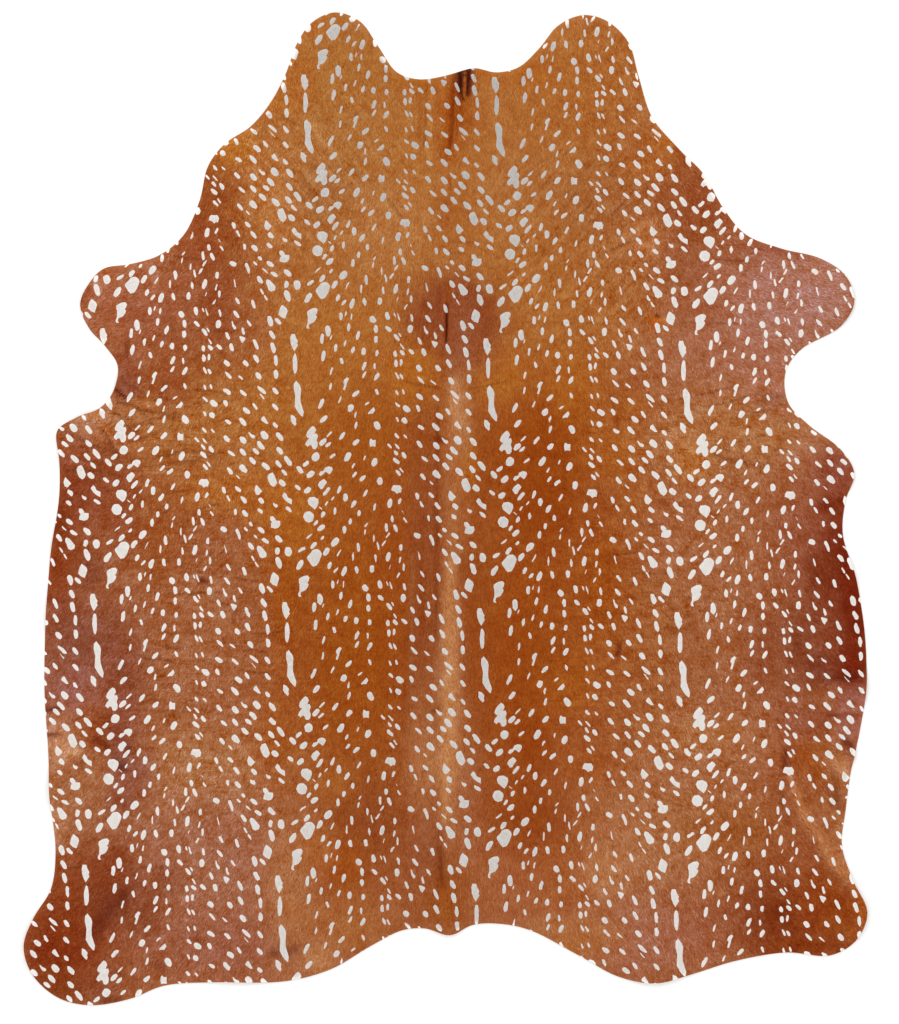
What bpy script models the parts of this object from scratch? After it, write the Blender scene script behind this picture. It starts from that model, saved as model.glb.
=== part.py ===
# Cowhide rug: one whole tanned hide with its hair on, spread hair side up on a floor.
# Metres, +Z up. The origin is on the floor, below the middle of the hide's bounding box.
# +Y runs along the spine toward the neck, and +X is to the right, seen from above.

from collections import namedtuple
from math import cos, hypot, pi, sqrt

import bmesh
import bpy
from mathutils import Vector, geometry, kdtree

MM = 0.001

# Thickness of the skin with its lying hair, thickest over the back and pared thin at the cut edge
BACK_THICKNESS = 4.6 * MM
BELLY_THICKNESS = 3.4 * MM
EDGE_THICKNESS = 2.2 * MM
BACK_TO_BELLY = 820 * MM
EDGE_BEVEL = 10 * MM

# Spacing of the points that carry the surface
RIM_PITCH = 28 * MM
SHEET_PITCH = 54 * MM
FOLD_PITCH = 26 * MM
CLOSEST_POINTS = 9 * MM

HAIR_COLOUR = (0.356, 0.117, 0.040, 1.0)
HAIR_ROUGHNESS = 0.72

# The knife-cut outline, in millimetres right of the spine and toward the neck from mid-length.
# It runs anticlockwise seen from above, and a smooth curve joins the points.
Station = namedtuple("Station", "across along")

LEFT_EAR = (
    Station(-238, 1074), Station(-290, 1052), Station(-322, 1006), Station(-346, 942), Station(-378, 880),
    Station(-422, 828), Station(-478, 790), Station(-514, 742), Station(-532, 668), Station(-566, 594),
)
LEFT_FORELEG = (
    Station(-618, 550), Station(-682, 530), Station(-740, 520), Station(-772, 486), Station(-790, 442),
    Station(-772, 392), Station(-738, 354), Station(-710, 312), Station(-714, 266), Station(-746, 220),
    Station(-798, 198), Station(-840, 170),
)
LEFT_FLANK = (
    Station(-836, 110), Station(-836, 30), Station(-856, -112), Station(-866, -264), Station(-868, -392),
    Station(-860, -522), Station(-856, -624), Station(-844, -740), Station(-854, -822),
)
LEFT_HIND_LEG = (
    Station(-892, -886), Station(-912, -946), Station(-892, -1010), Station(-838, -1058), Station(-768, -1074),
    Station(-682, -1060), Station(-610, -1032), Station(-498, -1024), Station(-346, -1022), Station(-248, -996),
    Station(-162, -946),
)
TAIL_ROOT = (
    Station(-94, -912), Station(-44, -908), Station(10, -922), Station(60, -900), Station(120, -898),
    Station(184, -912), Station(288, -966),
)
RIGHT_HIND_LEG = (
    Station(374, -1012), Station(454, -1026), Station(530, -1008), Station(628, -978), Station(736, -960),
    Station(834, -966), Station(888, -934), Station(912, -872), Station(882, -804), Station(858, -728),
    Station(866, -652),
)
RIGHT_FLANK = (
    Station(876, -576), Station(896, -484), Station(910, -392), Station(908, -274), Station(888, -150),
    Station(860, -54), Station(866, 18), Station(884, 76), Station(856, 128), Station(786, 182),
    Station(742, 230),
)
RIGHT_FORELEG = (
    Station(736, 296), Station(768, 344), Station(856, 396), Station(884, 448), Station(866, 504),
    Station(812, 542), Station(726, 564), Station(650, 594), Station(602, 650), Station(558, 726),
    Station(508, 776), Station(448, 846),
)
RIGHT_EAR_AND_NECK = (
    Station(418, 936), Station(396, 1010), Station(352, 1054), Station(298, 1068), Station(244, 1046),
    Station(202, 996), Station(158, 956), Station(110, 945), Station(62, 954), Station(10, 940),
    Station(-58, 930), Station(-106, 946), Station(-146, 1002), Station(-184, 1054),
)
OUTLINE = (
    LEFT_EAR + LEFT_FORELEG + LEFT_FLANK + LEFT_HIND_LEG + TAIL_ROOT
    + RIGHT_HIND_LEG + RIGHT_FLANK + RIGHT_FORELEG + RIGHT_EAR_AND_NECK
)

# Where the skin lifts off the floor, in millimetres: a soft ridge from start to end, bowed to its left.
# half_width is the distance from the crest to the foot at the start, and end_width is the same at the end.
# A ridge of kind "wave" starts past the cut edge at full height and dies away inside the hide.
# A ridge of kind "roll" rises and dies away within its length.
Fold = namedtuple("Fold", "name kind start end bow half_width end_width rise")

FOLDS = (
    Fold("spine", "roll", (26, 360), (8, -880), 6, 40, 58, 2.5),
    Fold("neck pleat", "wave", (26, 990), (12, 700), 0, 34, 18, 4.0),
    Fold("left ear", "wave", (-236, 1090), (-268, 830), 14, 90, 50, 4.0),
    Fold("right ear", "wave", (312, 1090), (286, 820), -14, 96, 50, 4.5),
    Fold("left cheek", "wave", (-400, 900), (-300, 760), 10, 60, 34, 3.0),
    Fold("right cheek", "wave", (510, 830), (380, 690), -12, 70, 36, 3.5),
    Fold("left shoulder crease", "roll", (-570, 402), (-280, 390), -6, 24, 18, 2.0),
    Fold("right shoulder crease", "roll", (90, 402), (700, 398), 8, 18, 26, 2.0),
    Fold("left foreleg", "wave", (-800, 462), (-600, 400), 14, 84, 40, 6.0),
    Fold("right foreleg", "wave", (896, 452), (640, 474), -12, 96, 44, 6.5),
    Fold("right shoulder tuck", "roll", (570, 572), (752, 520), 10, 22, 30, 4.0),
    Fold("left armpit tuck", "wave", (-716, 286), (-640, 206), -12, 24, 16, 8.0),
    Fold("left brisket roll", "wave", (-800, 214), (-676, 60), 26, 40, 22, 6.0),
    Fold("left brisket wrinkle", "wave", (-846, 128), (-590, 70), 14, 46, 24, 5.5),
    Fold("left saddle wrinkle", "roll", (-640, 96), (-430, 138), -10, 30, 22, 4.0),
    Fold("right saddle wrinkle", "roll", (540, 138), (770, 92), 12, 22, 30, 4.0),
    Fold("right brisket wave", "wave", (872, 84), (690, 30), -10, 60, 30, 6.0),
    Fold("left flank wave", "wave", (-856, -76), (-700, -60), 8, 62, 30, 5.0),
    Fold("left belly wave", "wave", (-868, -230), (-660, -196), -10, 74, 36, 5.5),
    Fold("left flank pucker", "roll", (-856, -500), (-706, -486), 44, 30, 34, 7.0),
    Fold("left groin roll", "wave", (-862, -622), (-660, -500), 24, 52, 34, 8.0),
    Fold("left hind hollow", "roll", (-690, -690), (-810, -880), 24, 40, 50, 5.0),
    Fold("left hind foot", "wave", (-914, -956), (-640, -880), 12, 96, 50, 7.0),
    Fold("left rump wave", "wave", (-450, -1030), (-430, -840), 8, 96, 48, 4.5),
    Fold("tail crease", "roll", (-290, -970), (-140, -884), 8, 26, 22, 4.0),
    Fold("tail root", "wave", (6, -926), (2, -770), 0, 48, 34, 4.0),
    Fold("right rump wave", "wave", (462, -1032), (430, -850), -8, 104, 50, 5.0),
    Fold("right hind foot", "wave", (916, -880), (690, -820), -10, 92, 46, 7.0),
    Fold("right hind ridge", "roll", (736, -486), (886, -846), -34, 34, 48, 10.0),
    Fold("right groin pucker", "wave", (884, -536), (770, -490), -8, 24, 16, 6.0),
    Fold("right belly roll", "wave", (912, -384), (740, -396), 6, 54, 30, 7.0),
    Fold("right belly wave", "wave", (886, -146), (720, -166), -6, 76, 38, 5.5),
)


def on_segment(before, start, end, after, share):
    """A point on the centripetal Catmull-Rom curve from start to end."""
    times = [0.0]
    for a, b in ((before, start), (start, end), (end, after)):
        times.append(times[-1] + sqrt((b - a).length))
    t = times[1] + share * (times[2] - times[1])

    def blend(a, b, low, high):
        return a.lerp(b, (t - times[low]) / (times[high] - times[low]))

    near = blend(before, start, 0, 1)
    middle = blend(start, end, 1, 2)
    far = blend(end, after, 2, 3)
    return blend(blend(near, middle, 0, 2), blend(middle, far, 1, 3), 1, 2)


def cut_edge():
    """The outline as evenly spaced points."""
    knots = [Vector(station) * MM for station in OUTLINE]
    count = len(knots)
    fine = []
    for i in range(count):
        around = [knots[(i + step) % count] for step in (-1, 0, 1, 2)]
        fine += [on_segment(*around, share / 12) for share in range(12)]
    edge, left_over = [fine[0]], 0.0
    for a, b in zip(fine, fine[1:] + fine[:1]):
        left_over += (b - a).length
        if left_over >= RIM_PITCH:
            edge.append(b)
            left_over = 0.0
    if (edge[-1] - edge[0]).length < RIM_PITCH / 2:
        edge.pop()
    return edge


def inset_ring(edge, width):
    """The same number of points, each moved inward at right angles to the edge."""
    count = len(edge)
    ring = []
    for i, point in enumerate(edge):
        ahead = (edge[(i + 1) % count] - edge[i - 1]).normalized()
        ring.append(point + Vector((-ahead.y, ahead.x)) * width)
    return ring


def is_inside(point, ring):
    """Whether a point lies within a closed ring, by counting the sides crossed toward +X."""
    crossed = False
    for a, b in zip(ring, ring[1:] + ring[:1]):
        if (a.y > point.y) != (b.y > point.y):
            if point.x < a.x + (b.x - a.x) * (point.y - a.y) / (b.y - a.y):
                crossed = not crossed
    return crossed


def fold_line(fold, pieces=16):
    """The crest of a fold: a quadratic curve that bows to the left of its chord."""
    start, end = Vector(fold.start) * MM, Vector(fold.end) * MM
    chord = (end - start).normalized()
    control = (start + end) / 2 + Vector((-chord.y, chord.x)) * 2 * fold.bow * MM
    shares = [i / pieces for i in range(pieces + 1)]
    return [start.lerp(control, t).lerp(control.lerp(end, t), t) for t in shares]


FOLD_LINES = [(fold, fold_line(fold)) for fold in FOLDS]


def half_width_at(fold, place):
    return (fold.half_width + (fold.end_width - fold.half_width) * place) * MM


def height_share(fold, place):
    """How much of its full height a fold has at a place from 0 at its start to 1 at its end."""
    if fold.kind == "wave":
        return cos(pi / 2 * place) ** 2 * (1 + 0.6 * place)
    return 1 - abs(2 * place - 1) ** 3


def lift_at(point):
    """How far the skin stands off the floor."""
    total = 0.0
    for fold, line in FOLD_LINES:
        nearest, place = 1.0, 0.0
        for i, (a, b) in enumerate(zip(line, line[1:])):
            share = min(max(geometry.intersect_point_line(point, a, b)[1], 0.0), 1.0)
            gap = (a.lerp(b, share) - point).length
            if gap < nearest:
                nearest, place = gap, (i + share) / (len(line) - 1)
        reach = half_width_at(fold, place)
        if nearest < reach:
            total += fold.rise * MM * cos(pi / 2 * nearest / reach) ** 2 * height_share(fold, place)
    return total


def thickness_at(point):
    """Thickest over the back, thinner toward the belly."""
    share = min(hypot(point.x, 0.35 * point.y) / BACK_TO_BELLY, 1.0)
    share = share * share * (3 - 2 * share)
    return BACK_THICKNESS + (BELLY_THICKNESS - BACK_THICKNESS) * share


class PointStore:
    """Points that keep a distance from each other."""

    def __init__(self, points):
        self.points = list(points)
        self.rebuild()

    def rebuild(self):
        self.tree = kdtree.KDTree(len(self.points))
        for i, point in enumerate(self.points):
            self.tree.insert(point.to_3d(), i)
        self.tree.balance()

    def add(self, candidates, apart):
        for point in candidates:
            if self.tree.find(point.to_3d())[2] >= apart:
                self.points.append(point)
                self.rebuild()


def fold_points():
    """Rows of points along each fold: its crest, its sides and its feet."""
    rows = []
    for fold, line in FOLD_LINES:
        length = (line[-1] - line[0]).length
        stops = max(3, round(length / FOLD_PITCH))
        for stop in range(stops + 1):
            place = stop / stops * (len(line) - 1)
            i = min(int(place), len(line) - 2)
            ahead = (line[i + 1] - line[i]).normalized()
            middle = line[i].lerp(line[i + 1], place - i)
            reach = half_width_at(fold, stop / stops)
            for side in (0, -1, 1, -0.5, 0.5):
                rows.append(middle + Vector((-ahead.y, ahead.x)) * side * reach)
    return rows


def sheet_points(edge):
    """An even field of staggered points over the whole hide."""
    low = Vector((min(p.x for p in edge), min(p.y for p in edge)))
    high = Vector((max(p.x for p in edge), max(p.y for p in edge)))
    row_pitch = SHEET_PITCH * sqrt(3) / 2
    field = []
    for row in range(int((high.y - low.y) / row_pitch) + 1):
        shift = SHEET_PITCH / 2 * (row % 2)
        for column in range(int((high.x - low.x) / SHEET_PITCH) + 1):
            field.append(low + Vector((shift + column * SHEET_PITCH, row * row_pitch)))
    return field


def hide_material():
    material = bpy.data.materials.new("tan hair")
    material.use_nodes = True
    shader = material.node_tree.nodes["Principled BSDF"]
    shader.inputs["Base Color"].default_value = HAIR_COLOUR
    shader.inputs["Roughness"].default_value = HAIR_ROUGHNESS
    shader.inputs["Metallic"].default_value = 0.0
    material.diffuse_color = HAIR_COLOUR
    return material


def make_hide():
    """One closed solid: the flesh side follows the folds, and the hair side lies a thickness above it."""
    edge = cut_edge()
    inner = inset_ring(edge, EDGE_BEVEL)
    store = PointStore(edge + inner)
    store.add([p for p in fold_points() if is_inside(p, inner)], CLOSEST_POINTS)
    store.add([p for p in sheet_points(edge) if is_inside(p, inner)], SHEET_PITCH * 0.55)

    count = len(edge)
    rings = [list(range(count)), list(range(count, 2 * count))]
    sides = [(ring[i - 1], ring[i]) for ring in rings for i in range(count)]
    only_inside = 1
    flat = geometry.delaunay_2d_cdt(store.points, sides, [rings[0]], only_inside, 1e-7)
    points, triangles, origins = flat[0], flat[2], flat[3]

    bm = bmesh.new()
    sheet = [bm.verts.new((p.x, p.y, lift_at(p))) for p in points]
    for triangle in triangles:
        bm.faces.new([sheet[i] for i in triangle])
    bmesh.ops.recalc_face_normals(bm, faces=bm.faces)
    raised = bmesh.ops.extrude_face_region(bm, geom=bm.faces[:], use_keep_orig=True)
    on_edge = {tuple(points[i]) for i, source in enumerate(origins) if set(source) & set(rings[0])}
    for vert in (item for item in raised["geom"] if isinstance(item, bmesh.types.BMVert)):
        place = Vector(vert.co.xy)
        thickness = EDGE_THICKNESS if tuple(place) in on_edge else thickness_at(place)
        vert.co.z += thickness
    bmesh.ops.recalc_face_normals(bm, faces=bm.faces)

    mesh = bpy.data.meshes.new("hide")
    bm.to_mesh(mesh)
    bm.free()
    mesh.materials.append(hide_material())
    mesh.shade_smooth()
    mesh.set_sharp_from_angle(angle=pi / 4)
    hide = bpy.data.objects.new("hide", mesh)
    bpy.context.scene.collection.objects.link(hide)
    return hide


for old in list(bpy.data.objects):
    bpy.data.objects.remove(old, do_unlink=True)

make_hide()
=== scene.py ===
import math

import bmesh
import bpy
import numpy as np
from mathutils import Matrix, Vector, geometry


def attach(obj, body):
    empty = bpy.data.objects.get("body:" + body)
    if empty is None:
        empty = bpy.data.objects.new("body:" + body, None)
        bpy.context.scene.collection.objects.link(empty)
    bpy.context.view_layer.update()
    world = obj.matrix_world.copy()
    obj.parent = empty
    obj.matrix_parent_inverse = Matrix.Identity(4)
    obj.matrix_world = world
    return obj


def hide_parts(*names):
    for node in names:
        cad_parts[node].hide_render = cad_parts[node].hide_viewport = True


# Cowhide rug with a printed deer-spot coat. The charts below are in millimetres, right of the spine
# and toward the neck from the middle of the hide, and mm turns them into the scene's metres.

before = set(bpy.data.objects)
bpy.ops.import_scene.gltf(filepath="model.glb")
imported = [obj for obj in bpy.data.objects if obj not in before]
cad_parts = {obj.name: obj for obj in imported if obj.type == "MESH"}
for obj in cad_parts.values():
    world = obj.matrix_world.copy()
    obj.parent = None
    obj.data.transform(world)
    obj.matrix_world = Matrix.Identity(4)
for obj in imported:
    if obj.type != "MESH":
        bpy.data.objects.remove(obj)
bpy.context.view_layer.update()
mm = 0.001
luck = np.random.default_rng(41)
sheen = 0.004  # light that the coat throws back whatever its colour
coatLight = 0.92  # how brightly the studio shows the coat and the print
printLight = 1.06


# Camera, light and floor

studio = dict(
    lens=85,
    aim=(8.7, -6.5),
    distance=5235,
    floor=(0.985, 0.985, 0.985),
    floorSize=9000,
    worldColour=(1.0, 0.997, 0.992),
    worldStrength=1.0,
    keyPlace=(-900, 2600, 3200),
    keySize=1800,
    keyPower=30,
)


def srgb(colour):
    # screen colour 0 to 255 to the linear light that the shaders use
    share = [c / 255 for c in colour]
    return tuple(c / 12.92 if c <= 0.04045 else ((c + 0.055) / 1.055) ** 2.4 for c in share)


def paint(colour, level):
    # the paint that shows as this screen colour under the studio's light
    return tuple(max(0.0008, (value - sheen) / level) for value in srgb(colour))


def placeCamera():
    lens = bpy.data.cameras.new("photo camera")
    lens.type = "PERSP"
    lens.lens = studio["lens"]
    lens.sensor_width = 36
    lens.clip_end = 50
    camera = bpy.data.objects.new("photo camera", lens)
    camera.location = [v * mm for v in (*studio["aim"], studio["distance"])]
    bpy.context.scene.collection.objects.link(camera)
    bpy.context.scene.camera = camera
    bpy.context.scene.view_settings.view_transform = "Standard"


def placeLights():
    world = bpy.data.worlds.new("studio")
    world.use_nodes = True
    bpy.context.scene.world = world
    background = world.node_tree.nodes["Background"]
    background.inputs["Color"].default_value = (*studio["worldColour"], 1)
    background.inputs["Strength"].default_value = studio["worldStrength"]
    lamp = bpy.data.lights.new("soft box", "AREA")
    lamp.shape = "DISK"
    lamp.size = studio["keySize"] * mm
    lamp.energy = studio["keyPower"]
    key = bpy.data.objects.new("soft box", lamp)
    key.location = [v * mm for v in studio["keyPlace"]]
    key.rotation_euler = (-key.location).to_track_quat("-Z", "Y").to_euler()
    bpy.context.scene.collection.objects.link(key)


# Shader maths: a Wire is a socket, and an expression on wires adds its Math nodes

class Wire:
    def __init__(self, bench, socket):
        self.bench = bench
        self.socket = socket

    def maths(self, operation, first, second=0.0):
        return self.bench.node("ShaderNodeMath", dict(operation=operation), {0: first, 1: second})

    def __add__(self, other):
        return self.maths("ADD", self, other)

    def __sub__(self, other):
        return self.maths("SUBTRACT", self, other)

    def __rsub__(self, other):
        return self.maths("SUBTRACT", other, self)

    def __mul__(self, other):
        return self.maths("MULTIPLY", self, other)

    def __abs__(self):
        return self.maths("ABSOLUTE", self)

    __radd__ = __add__
    __rmul__ = __mul__


class Bench:
    # a material being made
    def __init__(self, name):
        self.material = bpy.data.materials.new(name)
        self.material.use_nodes = True
        self.tree = self.material.node_tree
        self.shader = self.tree.nodes["Principled BSDF"]

    def node(self, kind, settings=None, inputs=None, output=0):
        made = self.tree.nodes.new(kind)
        for name, value in (settings or {}).items():
            setattr(made, name, value)
        for key, value in (inputs or {}).items():
            self.feed(made.inputs[key], value)
        return Wire(self, made.outputs[output])

    def feed(self, socket, value):
        if isinstance(value, Wire):
            self.tree.links.new(value.socket, socket)
        else:
            socket.default_value = value

    def finish(self, **inputs):
        for name, value in inputs.items():
            self.feed(self.shader.inputs[name.replace("_", " ")], value)
        return self.material

    def attribute(self, name, output="Fac"):
        return self.node("ShaderNodeAttribute", dict(attribute_name=name), {}, output)

    def place(self, scale=(1, 1, 1)):
        coordinates = self.node("ShaderNodeTexCoord", {}, {}, "Object")
        inputs = {"Vector": coordinates, "Scale": scale}
        return self.node("ShaderNodeMapping", dict(vector_type="POINT"), inputs)

    def stretched(self, length, turn):
        # coordinates in which a mottle is this many times longer along the turned x axis
        coordinates = self.node("ShaderNodeTexCoord", {}, {}, "Object")
        inputs = {"Vector": coordinates, "Rotation": (0, 0, turn), "Scale": (length, 1, 1)}
        return self.node("ShaderNodeMapping", dict(vector_type="TEXTURE"), inputs)

    def noise(self, size, vector=None, detail=2.0, roughness=0.5):
        # size is the width of one mottle in millimetres
        inputs = {"Scale": 1 / (size * mm), "Detail": detail, "Roughness": roughness}
        inputs["Vector"] = vector or self.place()
        return self.node("ShaderNodeTexNoise", dict(noise_dimensions="3D"), inputs)

    def mixColour(self, share, first, second, blend="MIX"):
        settings = dict(data_type="RGBA", blend_type=blend)
        return self.node("ShaderNodeMix", settings, {0: share, 6: first, 7: second}, 2)

    def tinted(self, colour, change, shares=(1, 1, 1)):
        # a colour whose red, green and blue follow the change by their shares
        parts = {k: change * share + 1.0 for k, share in enumerate(shares)}
        return self.mixColour(1.0, colour, self.node("ShaderNodeCombineColor", {}, parts), "MULTIPLY")

    def smooth(self, value, low, high, toLow=0.0, toHigh=1.0):
        settings = dict(interpolation_type="SMOOTHSTEP")
        inputs = {"Value": value, "From Min": low, "From Max": high, "To Min": toLow, "To Max": toHigh}
        return self.node("ShaderNodeMapRange", settings, inputs)


# The skin: its cut edge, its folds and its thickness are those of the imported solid

skin = dict(
    backThickness=4.6,
    bellyThickness=3.4,
    edgeThickness=2.2,
    backToBelly=820,
    rimPitch=6.5,
    rimRings=((2.5, 0.42), (6, 0.78), (12, 1.0)),  # how far inside the cut, and the share of full thickness
    sheetPitch=10.2,
    undersidePitch=42,
    foldPitch=13,
    spinePitch=6.5,
    spineMiddle=10,
    spineHalfWidth=62,
    strokePitch=5,  # between the points along a crease or a mark
    apart=dict(rim=2.2, crease=2.4, mark=2.8, spine=4.0, sheet=6.2),  # the least gap to points laid before
)

leftEar = [
    (-238, 1074), (-290, 1052), (-322, 1006), (-346, 942), (-378, 880),
    (-422, 828), (-478, 790), (-514, 742), (-532, 668), (-566, 594),
]
leftForeleg = [
    (-618, 550), (-682, 530), (-740, 520), (-772, 486), (-790, 442), (-772, 392),
    (-738, 354), (-710, 312), (-714, 266), (-746, 220), (-798, 198), (-840, 170),
]
leftFlank = [
    (-836, 110), (-836, 30), (-856, -112), (-866, -264), (-868, -392),
    (-860, -522), (-856, -624), (-844, -740), (-854, -822),
]
leftHindLeg = [
    (-892, -886), (-912, -946), (-892, -1010), (-838, -1058), (-768, -1074), (-682, -1060),
    (-610, -1032), (-498, -1024), (-346, -1022), (-248, -996), (-162, -946),
]
tailRoot = [(-94, -912), (-44, -908), (10, -922), (60, -900), (120, -898), (184, -912), (288, -966)]
rightHindLeg = [
    (374, -1012), (454, -1026), (530, -1008), (628, -978), (736, -960), (834, -966),
    (888, -934), (912, -872), (882, -804), (858, -728), (866, -652),
]
rightFlank = [
    (876, -576), (896, -484), (910, -392), (908, -274), (888, -150), (860, -54),
    (866, 18), (884, 76), (856, 128), (786, 182), (742, 230),
]
rightForeleg = [
    (736, 296), (768, 344), (856, 396), (884, 448), (866, 504), (812, 542),
    (726, 564), (650, 594), (602, 650), (558, 726), (508, 776), (448, 846),
]
rightEarAndNeck = [
    (418, 936), (396, 1010), (352, 1054), (298, 1068), (244, 1046), (202, 996), (158, 956),
    (110, 945), (62, 954), (10, 940), (-58, 930), (-106, 946), (-146, 1002), (-184, 1054),
]
outline = (
    leftEar + leftForeleg + leftFlank + leftHindLeg + tailRoot
    + rightHindLeg + rightFlank + rightForeleg + rightEarAndNeck
)

# name, kind, start, end, bow to the left, half width at the start and at the end, rise.
# A wave comes in over the cut edge at full height, and a roll rises and dies away within its length.
folds = [
    ("spine", "roll", (26, 360), (8, -880), 6, 40, 58, 2.5),
    ("neck pleat", "wave", (26, 990), (12, 700), 0, 34, 18, 4.0),
    ("left ear", "wave", (-236, 1090), (-268, 830), 14, 90, 50, 4.0),
    ("right ear", "wave", (312, 1090), (286, 820), -14, 96, 50, 4.5),
    ("left cheek", "wave", (-400, 900), (-300, 760), 10, 60, 34, 3.0),
    ("right cheek", "wave", (510, 830), (380, 690), -12, 70, 36, 3.5),
    ("left shoulder crease", "roll", (-570, 402), (-280, 390), -6, 24, 18, 2.0),
    ("right shoulder crease", "roll", (90, 402), (700, 398), 8, 18, 26, 2.0),
    ("left foreleg", "wave", (-800, 462), (-600, 400), 14, 84, 40, 6.0),
    ("right foreleg", "wave", (896, 452), (640, 474), -12, 96, 44, 6.5),
    ("right shoulder tuck", "roll", (570, 572), (752, 520), 10, 22, 30, 4.0),
    ("left armpit tuck", "wave", (-716, 286), (-640, 206), -12, 24, 16, 8.0),
    ("left brisket roll", "wave", (-800, 214), (-676, 60), 26, 40, 22, 6.0),
    ("left brisket wrinkle", "wave", (-846, 128), (-590, 70), 14, 46, 24, 5.5),
    ("left saddle wrinkle", "roll", (-640, 96), (-430, 138), -10, 30, 22, 4.0),
    ("right saddle wrinkle", "roll", (540, 138), (770, 92), 12, 22, 30, 4.0),
    ("right brisket wave", "wave", (872, 84), (690, 30), -10, 60, 30, 6.0),
    ("left flank wave", "wave", (-856, -76), (-700, -60), 8, 62, 30, 5.0),
    ("left belly wave", "wave", (-868, -230), (-660, -196), -10, 74, 36, 5.5),
    ("left flank pucker", "roll", (-856, -500), (-706, -486), 44, 30, 34, 7.0),
    ("left groin roll", "wave", (-862, -622), (-660, -500), 24, 52, 34, 8.0),
    ("left hind hollow", "roll", (-690, -690), (-810, -880), 24, 40, 50, 5.0),
    ("left hind foot", "wave", (-914, -956), (-640, -880), 12, 96, 50, 7.0),
    ("left rump wave", "wave", (-450, -1030), (-430, -840), 8, 96, 48, 4.5),
    ("tail crease", "roll", (-290, -970), (-140, -884), 8, 26, 22, 4.0),
    ("tail root", "wave", (6, -926), (2, -770), 0, 48, 34, 4.0),
    ("right rump wave", "wave", (462, -1032), (430, -850), -8, 104, 50, 5.0),
    ("right hind foot", "wave", (916, -880), (690, -820), -10, 92, 46, 7.0),
    ("right hind ridge", "roll", (736, -486), (886, -846), -34, 34, 48, 10.0),
    ("right groin pucker", "wave", (884, -536), (770, -490), -8, 24, 16, 6.0),
    ("right belly roll", "wave", (912, -384), (740, -396), 6, 54, 30, 7.0),
    ("right belly wave", "wave", (886, -146), (720, -166), -6, 76, 38, 5.5),
]


def throughStations(stations, pitch):
    # a closed centripetal Catmull-Rom curve, then evenly spaced points along it
    knots = np.array(stations, float)
    count = len(knots)
    fine = []
    for i in range(count):
        around = [knots[(i + step) % count] for step in (-1, 0, 1, 2)]
        times = np.cumsum([0.0] + [math.sqrt(np.linalg.norm(around[k + 1] - around[k])) for k in range(3)])
        for t in np.linspace(times[1], times[2], 16, endpoint=False):
            level = list(around)
            for depth in (1, 2, 3):
                merged = []
                for k in range(len(level) - 1):
                    low = times[k] if depth < 3 else times[1]
                    high = times[k + depth] if depth < 3 else times[2]
                    share = (t - low) / (high - low)
                    merged.append(level[k] + (level[k + 1] - level[k]) * share)
                level = merged
            fine.append(level[0])
    fine = np.array(fine)
    closed = np.vstack([fine, fine[:1]])
    run = np.concatenate([[0], np.cumsum(np.linalg.norm(np.diff(closed, axis=0), axis=1))])
    stops = np.linspace(0, run[-1], round(run[-1] / pitch), endpoint=False)
    return np.stack([np.interp(stops, run, closed[:, 0]), np.interp(stops, run, closed[:, 1])], 1)


def insetRing(ring, width):
    ahead = np.roll(ring, -1, 0) - np.roll(ring, 1, 0)
    ahead /= np.linalg.norm(ahead, axis=1, keepdims=True)
    return ring + np.stack([-ahead[:, 1], ahead[:, 0]], 1) * width


def insideRing(points, ring):
    # even-odd rule, side by side
    inside = np.zeros(len(points), bool)
    for a, b in zip(ring, np.roll(ring, -1, 0)):
        if a[1] == b[1]:
            continue
        straddles = (a[1] > points[:, 1]) != (b[1] > points[:, 1])
        crossing = a[0] + (b[0] - a[0]) * (points[:, 1] - a[1]) / (b[1] - a[1])
        inside ^= straddles & (points[:, 0] < crossing)
    return inside


def foldLine(start, end, bow, pieces=16):
    start, end = np.array(start, float), np.array(end, float)
    chord = (end - start) / np.linalg.norm(end - start)
    control = (start + end) / 2 + np.array([-chord[1], chord[0]]) * 2 * bow
    t = np.linspace(0, 1, pieces + 1)[:, None]
    return (1 - t) ** 2 * start + 2 * t * (1 - t) * control + t * t * end


def nearLine(points, line):
    # distance to the line, and the place along it from 0 to 1
    nearest = np.full(len(points), 1e9)
    place = np.zeros(len(points))
    count = len(line) - 1
    for i in range(count):
        side = line[i + 1] - line[i]
        share = np.clip(((points - line[i]) @ side) / (side @ side), 0, 1)
        gap = np.linalg.norm(points - line[i] - share[:, None] * side, axis=1)
        closer = gap < nearest
        nearest[closer] = gap[closer]
        place[closer] = ((i + share) / count)[closer]
    return nearest, place


def liftAt(points):
    total = np.zeros(len(points))
    for name, kind, start, end, bow, halfWidth, endWidth, rise in folds:
        line = foldLine(start, end, bow)
        reach = max(halfWidth, endWidth)
        low, high = line.min(0) - reach, line.max(0) + reach
        near = np.flatnonzero(np.all((points > low) & (points < high), axis=1))
        if not len(near):
            continue
        gap, place = nearLine(points[near], line)
        width = halfWidth + (endWidth - halfWidth) * place
        if kind == "wave":
            share = np.cos(np.pi / 2 * place) ** 2 * (1 + 0.6 * place)
        else:
            share = 1 - np.abs(2 * place - 1) ** 3
        crest = np.where(gap < width, np.cos(np.pi / 2 * np.minimum(gap / width, 1)) ** 2, 0)
        total[near] += rise * crest * share
    return total


def thicknessAt(points):
    share = np.minimum(np.hypot(points[:, 0], 0.35 * points[:, 1]) / skin["backToBelly"], 1)
    share = share * share * (3 - 2 * share)
    return skin["backThickness"] + (skin["bellyThickness"] - skin["backThickness"]) * share


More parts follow.
